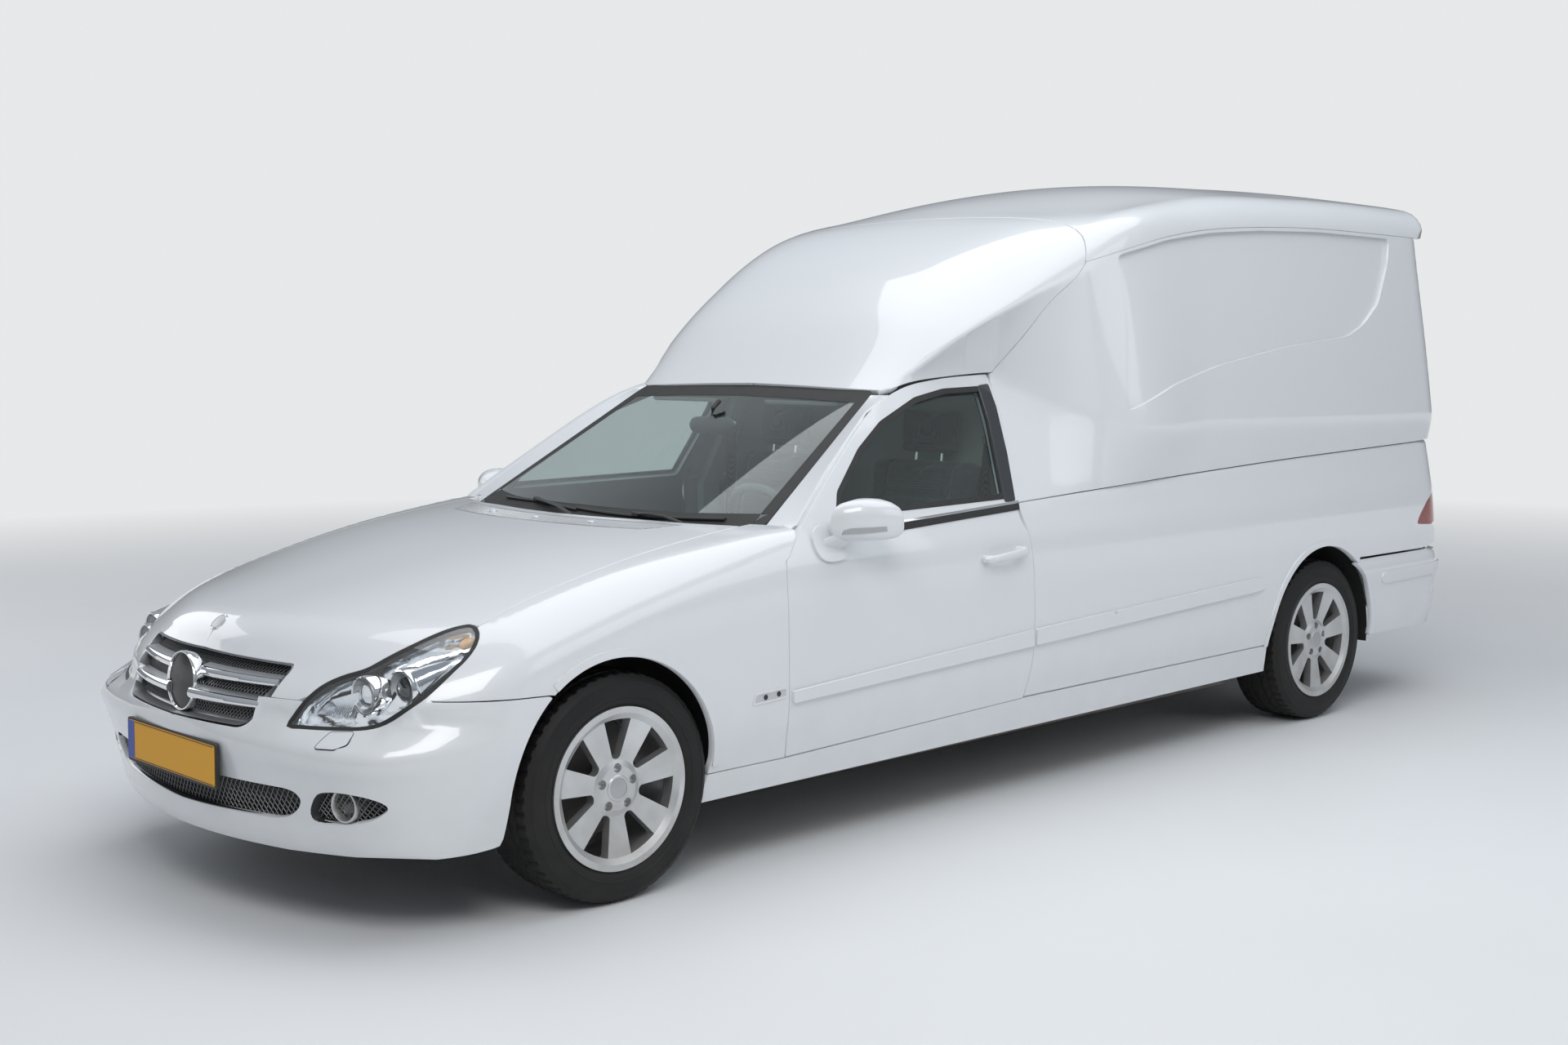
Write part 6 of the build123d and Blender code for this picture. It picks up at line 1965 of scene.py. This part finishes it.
def wheel_and_head_parts():
    """The steering wheel's pad and spokes, the inside mirror, the visors and the cabin's door cards."""
    hub = Form("steering_pad")
    centre, axis = np.array([0.370, 1.050, 0.900]), np.array([0, 0.88, 0.47])
    hub.lathe(
        centre, axis,
        [(0.001, 0.02), (0.05, 0.016), (0.074, 0.004), (0.078, -0.014), (0.062, -0.026), (0.001, -0.028)], "black",
        36,
    )
    frame = cross_frame(axis)
    for turn in (0, 90, 180, 270):
        way = frame[0] * cos(radians(turn)) + frame[1] * sin(radians(turn))
        hub.tube(
            [centre + way * r - axis * (0.012 - 0.03 * (r - 0.06)) for r in (0.06, 0.09, 0.12, 0.15, 0.17)], 0.012,
            "black", sides=12, flat=0.5,
        )
    hub.lathe(centre, axis, [(0.0185, 0.0195), (0.018, 0.0225), (0.012, 0.0235), (0.001, 0.024)], "satin", 24)
    hub.done()
    high = Form("inside_mirror")
    rings = []
    for x in np.linspace(-0.115, 0.115, 21):
        grow = (1 - (abs(x) / 0.116) ** 6) ** 0.5 + 0.02
        rings.append([(x, 1.118 + 0.016 * grow * cos(w), 1.238 + 0.030 * grow * sin(w)) for w in around(20)])
    high.rings(rings, "black", caps=True)
    face = round_corners([(-0.100, 1.216), (0.100, 1.216), (0.104, 1.258), (-0.104, 1.258)], 0.015)
    high.slab([(x, 1.1350, z) for x, z in face], (0, 1, 0), 0.003, "mirror", 0.0008)
    high.tube([(0, 1.112, 1.262), (0, 1.120, 1.300), (0, 1.150, 1.325)], 0.008, "black", sides=12)
    high.done()
    visors = Form("sun_visors")
    ring = round_corners([(0.115, 0.0), (0.480, 0.0), (0.490, 0.140), (0.120, 0.145)], 0.02)
    visors.slab(
        [(x, 1.245 + 0.92 * t, 1.325 + 0.26 * t) for x, t in ring], (0, -0.26, 0.92), 0.014, "pale_plastic", 0.004,
    )
    visors.mirrored().done()
    for side, name in ((1, "left"), (-1, "right")):
        card = Form(f"door_card_{name}", f"door_{name}")
        x = 0.800
        arm = []
        for y, z, deep in ((0.860, 0.700, 0.020), (0.980, 0.705, 0.045), (1.150, 0.700, 0.056), (1.350, 0.700, 0.058),
                           (1.500, 0.712, 0.050), (1.580, 0.735, 0.018)):
            arm.append([(side * (x + 0.012 - deep * a), y, z + 0.034 * b) for a, b in
                        ((cos(w) * 0.5 + 0.5, sin(w)) for w in around(20))])
        card.rings(arm, "pale_plastic", caps=True)
        card.tube(
            [
                (side * 0.792, 0.985, 0.838), (side * 0.78, 1.015, 0.842), (side * 0.78, 1.055, 0.842),
                (side * 0.79, 1.08, 0.838),
            ],
            0.005, "chrome", sides=10,
        )
        card.lathe(
            (side * 0.797, 0.9, 0.48), (-side, 0, 0),
            [(0.072, -0.01), (0.072, 0.004), (0.064, 0.006), (0.001, 0.003)], "grey_plastic", 40,
        )
        card.done()


# Stage

CAMERA_PLACE = (4.8973, -5.0751, 1.5536)
CAMERA_TURN = (46.7301, -5.6836, -0.3732)
CAMERA_LENS = 43.67
BACKDROP = (0.80, 0.81, 0.82)
FLOOR_CLEAR = 3.8
FLOOR_FADE = 8.0
SKY_STRENGTH = 0.42


def dress_nodes():
    """Gives every solid of the frame its finish."""
    for name, node in NODES.items():
        finish = NODE_FINISH.get(name)
        if finish is None:
            finish = "tyre" if name.startswith("tyre") else "alloy"
        node.data.materials.clear()
        node.data.materials.append(M[finish])


def area_light(name, place, target, size, power, colour=(1, 1, 1)):
    data = bpy.data.lights.new(name, "AREA")
    data.shape = "RECTANGLE"
    data.size, data.size_y = size
    data.energy = power
    data.color = colour
    lamp = bpy.data.objects.new(name, data)
    lamp.location = place
    lamp.rotation_euler = (Vector(target) - Vector(place)).to_track_quat("-Z", "Y").to_euler()
    bpy.context.scene.collection.objects.link(lamp)
    return lamp


def build_floor():
    size = bpy.context.scene.hearse_sizes.floor
    rows = 24
    points = [
        (size * (i / rows - 0.5), size * (j / rows - 0.5), -0.0006) for j in range(rows + 1) for i in range(rows + 1)
    ]
    faces = [
        (j * (rows + 1) + i, j * (rows + 1) + i + 1, (j + 1) * (rows + 1) + i + 1, (j + 1) * (rows + 1) + i)
        for j in range(rows) for i in range(rows)
    ]
    floor = make_object("studio_floor", points, faces)
    mat = bpy.data.materials.new("Studio Floor")
    mat.use_nodes = True
    tree = mat.node_tree
    shader = tree.nodes["Principled BSDF"]
    shader.inputs["Roughness"].default_value = 0.55
    cloud = noise_node(tree, 0.7, 5.0)
    tree.links.new(mix_colour(tree, cloud, (0.74, 0.75, 0.76, 1), (0.80, 0.81, 0.82, 1)), shader.inputs["Base Color"])
    place = tree.nodes.new("ShaderNodeNewGeometry")
    length = tree.nodes.new("ShaderNodeVectorMath")
    length.operation = "LENGTH"
    tree.links.new(place.outputs["Position"], length.inputs[0])
    far = math_node(tree, "MULTIPLY_ADD", length.outputs["Value"], 1 / FLOOR_FADE, -FLOOR_CLEAR / FLOOR_FADE)
    far = clamped(tree, far)
    path = tree.nodes.new("ShaderNodeLightPath")
    seen = math_node(tree, "MAXIMUM", path.outputs["Is Camera Ray"], path.outputs["Is Glossy Ray"])
    seen = math_node(tree, "MAXIMUM", seen, path.outputs["Is Transmission Ray"])
    pale = tree.nodes.new("ShaderNodeEmission")
    pale.inputs[0].default_value = (*BACKDROP, 1)
    mix = tree.nodes.new("ShaderNodeMixShader")
    tree.links.new(math_node(tree, "MULTIPLY", far, seen), mix.inputs[0])
    tree.links.new(shader.outputs[0], mix.inputs[1])
    tree.links.new(pale.outputs[0], mix.inputs[2])
    tree.links.new(mix.outputs[0], tree.nodes["Material Output"].inputs[0])
    floor.data.materials.append(mat)
    return floor


def build_world():
    """A pale surround for the camera and a soft sky for the light on the car."""
    world = bpy.data.worlds.new("Studio")
    bpy.context.scene.world = world
    world.use_nodes = True
    tree = world.node_tree
    back = tree.nodes["Background"]
    path = tree.nodes.new("ShaderNodeLightPath")
    seen = math_node(tree, "MAXIMUM", path.outputs["Is Camera Ray"], path.outputs["Is Transmission Ray"])
    place = tree.nodes.new("ShaderNodeTexCoord")
    split = tree.nodes.new("ShaderNodeSeparateXYZ")
    tree.links.new(place.outputs["Generated"], split.inputs[0])
    up = math_node(tree, "MULTIPLY_ADD", split.outputs["Z"], 1.6, 0.25)
    up = clamped(tree, up)
    sky = mix_colour(tree, up, (0.34, 0.35, 0.36, 1), (0.80, 0.86, 0.95, 1))
    tree.links.new(mix_colour(tree, seen, sky, (*BACKDROP, 1)), back.inputs["Color"])
    tree.links.new(math_node(tree, "MULTIPLY_ADD", seen, 1 - SKY_STRENGTH, SKY_STRENGTH), back.inputs["Strength"])


def build_camera():
    yaw, pitch, roll = (radians(turn) for turn in CAMERA_TURN)
    look = Vector((-sin(yaw) * cos(pitch), cos(yaw) * cos(pitch), sin(pitch)))
    right = Vector((cos(yaw), sin(yaw), 0))
    up = right.cross(look)
    across = right * cos(roll) + up * sin(roll)
    upward = up * cos(roll) - right * sin(roll)
    data = bpy.data.cameras.new("Camera")
    data.sensor_width = 36
    data.lens = CAMERA_LENS
    camera = bpy.data.objects.new("Camera", data)
    turn = Matrix((across, upward, -look)).transposed().to_4x4()
    camera.matrix_world = Matrix.Translation(CAMERA_PLACE) @ turn
    bpy.context.scene.collection.objects.link(camera)
    bpy.context.scene.camera = camera
    return camera


def build_stage():
    scene = bpy.context.scene
    build_world()
    camera = build_camera()
    lights = [
        area_light("key_light", (4.2, -4.6, 5.2), (0, -0.4, 0.8), (4.0, 2.6), 165, (1.0, 0.99, 0.97)),
        area_light("top_light", (0.6, 0.4, 5.4), (0, 0.2, 0.6), (5.0, 8.0), 190, (0.95, 0.98, 1.0)),
        area_light("side_light", (6.4, 2.8, 2.9), (0, 0.6, 0.9), (4.4, 2.6), 42, (0.93, 0.97, 1.0)),
        area_light("fill_light", (-6.0, -3.5, 3.0), (0, -0.6, 0.8), (4.0, 3.0), 60, (0.97, 0.98, 1.0)),
    ]
    build_floor()
    scene.view_settings.view_transform = "Standard"
    return camera


# Add-on

class HearseSizes(bpy.types.PropertyGroup):
    """Sizes that are set before the pieces are built."""

    tread_depth: bpy.props.FloatProperty(
        name="Tread depth", description="How deep the grooves of the tyres are", default=0.007, min=0.003, max=0.009,
        unit="LENGTH",
    )
    floor: bpy.props.FloatProperty(
        name="Floor", description="Width of the studio floor", default=90.0, min=20.0, max=200.0, unit="LENGTH",
    )


class HearseColours(bpy.types.PropertyGroup):
    """Colours that are set before the pieces are built."""

    paint: bpy.props.FloatVectorProperty(
        name="Paint", description="Colour of the body", default=(0.74, 0.76, 0.78), size=3, min=0, max=1,
        subtype="COLOR",
    )
    seats: bpy.props.FloatVectorProperty(
        name="Seats", description="Colour of the seat cloth", default=(0.075, 0.075, 0.08), size=3, min=0, max=1,
        subtype="COLOR",
    )
    plate: bpy.props.FloatVectorProperty(
        name="Plate", description="Colour of the blank number plates", default=(0.78, 0.38, 0.012), size=3, min=0,
        max=1, subtype="COLOR",
    )


class HEARSE_OT_materials(bpy.types.Operator):
    """Makes the finishes and gives them to the solids of the frame"""

    bl_idname = "hearse.materials"
    bl_label = "Finishes"

    def execute(self, context):
        M.update(build_materials())
        dress_nodes()
        return {"FINISHED"}


class HEARSE_OT_front(bpy.types.Operator):
    """Adds the painted hood, wings, bumper and sills"""

    bl_idname = "hearse.front"
    bl_label = "Front body"

    def execute(self, context):
        hood_parts()
        wing_parts()
        bumper_parts()
        sill_parts()
        return {"FINISHED"}


class HEARSE_OT_upper(bpy.types.Operator):
    """Adds the fairing, the roof, the box sides and the quarters"""

    bl_idname = "hearse.upper"
    bl_label = "Upper body"

    def execute(self, context):
        upper_parts()
        return {"FINISHED"}


class HEARSE_OT_doors(bpy.types.Operator):
    """Adds the doors' outer and inner faces and their window seals"""

    bl_idname = "hearse.doors"
    bl_label = "Doors"

    def execute(self, context):
        door_parts()
        return {"FINISHED"}


class HEARSE_OT_rear(bpy.types.Operator):
    """Adds the tailgate and the rear bumper"""

    bl_idname = "hearse.rear"
    bl_label = "Rear body"

    def execute(self, context):
        rear_parts()
        return {"FINISHED"}


class HEARSE_OT_lamps(bpy.types.Operator):
    """Adds the head lamps with their seals, covers, bowls and units"""

    bl_idname = "hearse.lamps"
    bl_label = "Head lamps"

    def execute(self, context):
        head_lamp_parts()
        return {"FINISHED"}


class HEARSE_OT_grille(bpy.types.Operator):
    """Adds the radiator grille, the lower grille, the fog lamps and the front plate"""

    bl_idname = "hearse.grille"
    bl_label = "Grilles and front plate"

    def execute(self, context):
        grille_parts()
        low_openings()
        plate_form("front_plate", (0, -0.8655, 0.422), (0, -1, 0.02))
        return {"FINISHED"}


class HEARSE_OT_glass(bpy.types.Operator):
    """Adds the windscreen, the black pillar covers and the belt strips"""

    bl_idname = "hearse.glass"
    bl_label = "Glass and belt"

    def execute(self, context):
        glass_parts()
        return {"FINISHED"}


class HEARSE_OT_trim(bpy.types.Operator):
    """Adds the mouldings, door handles, mirrors, wipers, cowl and louvres"""

    bl_idname = "hearse.trim"
    bl_label = "Outer trim"

    def execute(self, context):
        moulding_parts()
        wing_recess()
        handle_parts()
        mirror_parts()
        wiper_parts()
        cowl_parts()
        return {"FINISHED"}


class HEARSE_OT_rear_trim(bpy.types.Operator):
    """Adds the tail lamps, the rear plate, the tailgate's grip and the high lamp"""

    bl_idname = "hearse.rear_trim"
    bl_label = "Rear trim"

    def execute(self, context):
        rear_details()
        return {"FINISHED"}


class HEARSE_OT_wheels(bpy.types.Operator):
    """Adds the treaded tyres, wheel bolts and centre caps"""

    bl_idname = "hearse.wheels"
    bl_label = "Wheels"

    def execute(self, context):
        wheel_parts()
        arch_liners()
        return {"FINISHED"}


class HEARSE_OT_seats(bpy.types.Operator):
    """Adds the padded seats, swollen as cloth, with their piping, covers and belts"""

    bl_idname = "hearse.seats"
    bl_label = "Seats"

    def execute(self, context):
        for kind in SEAT_PADS:
            seat_pad(kind)
        seat_trim()
        return {"FINISHED"}


class HEARSE_OT_cabin(bpy.types.Operator):
    """Adds the dashboard, console, steering pad, inside mirror, visors and door cards"""

    bl_idname = "hearse.cabin"
    bl_label = "Cabin"

    def execute(self, context):
        dash_parts()
        wheel_and_head_parts()
        return {"FINISHED"}


class HEARSE_OT_stage(bpy.types.Operator):
    """Sets up the floor, the light, the surround and the camera"""

    bl_idname = "hearse.stage"
    bl_label = "Stage"

    def execute(self, context):
        build_stage()
        return {"FINISHED"}


STEPS = [
    HEARSE_OT_materials, HEARSE_OT_front, HEARSE_OT_upper, HEARSE_OT_doors, HEARSE_OT_rear, HEARSE_OT_lamps,
    HEARSE_OT_grille, HEARSE_OT_glass, HEARSE_OT_trim, HEARSE_OT_rear_trim, HEARSE_OT_wheels,
    HEARSE_OT_seats, HEARSE_OT_cabin, HEARSE_OT_stage,
]


class HEARSE_PT_panel(bpy.types.Panel):
    """Lists the settings and the steps, in the order in which they are run"""

    bl_idname = "HEARSE_PT_panel"
    bl_label = "White Hearse"
    bl_space_type = "VIEW_3D"
    bl_region_type = "UI"
    bl_category = "Hearse"

    def draw(self, context):
        layout = self.layout
        for settings in (context.scene.hearse_sizes, context.scene.hearse_colours):
            for name in settings.__annotations__:
                layout.prop(settings, name)
        for step in STEPS:
            layout.operator(step.bl_idname)


CLASSES = [HearseSizes, HearseColours, *STEPS, HEARSE_PT_panel]


def register():
    for cls in CLASSES:
        bpy.utils.register_class(cls)
    bpy.types.Scene.hearse_sizes = bpy.props.PointerProperty(type=HearseSizes)
    bpy.types.Scene.hearse_colours = bpy.props.PointerProperty(type=HearseColours)


def unregister():
    del bpy.types.Scene.hearse_colours
    del bpy.types.Scene.hearse_sizes
    for cls in reversed(CLASSES):
        bpy.utils.unregister_class(cls)


def main():
    register()
    bpy.ops.hearse.materials()
    bpy.ops.hearse.front()
    bpy.ops.hearse.upper()
    bpy.ops.hearse.doors()
    bpy.ops.hearse.rear()
    bpy.ops.hearse.lamps()
    bpy.ops.hearse.grille()
    bpy.ops.hearse.glass()
    bpy.ops.hearse.trim()
    bpy.ops.hearse.rear_trim()
    bpy.ops.hearse.wheels()
    bpy.ops.hearse.seats()
    bpy.ops.hearse.cabin()
    bpy.ops.hearse.stage()


if __name__ == "__main__":
    main()
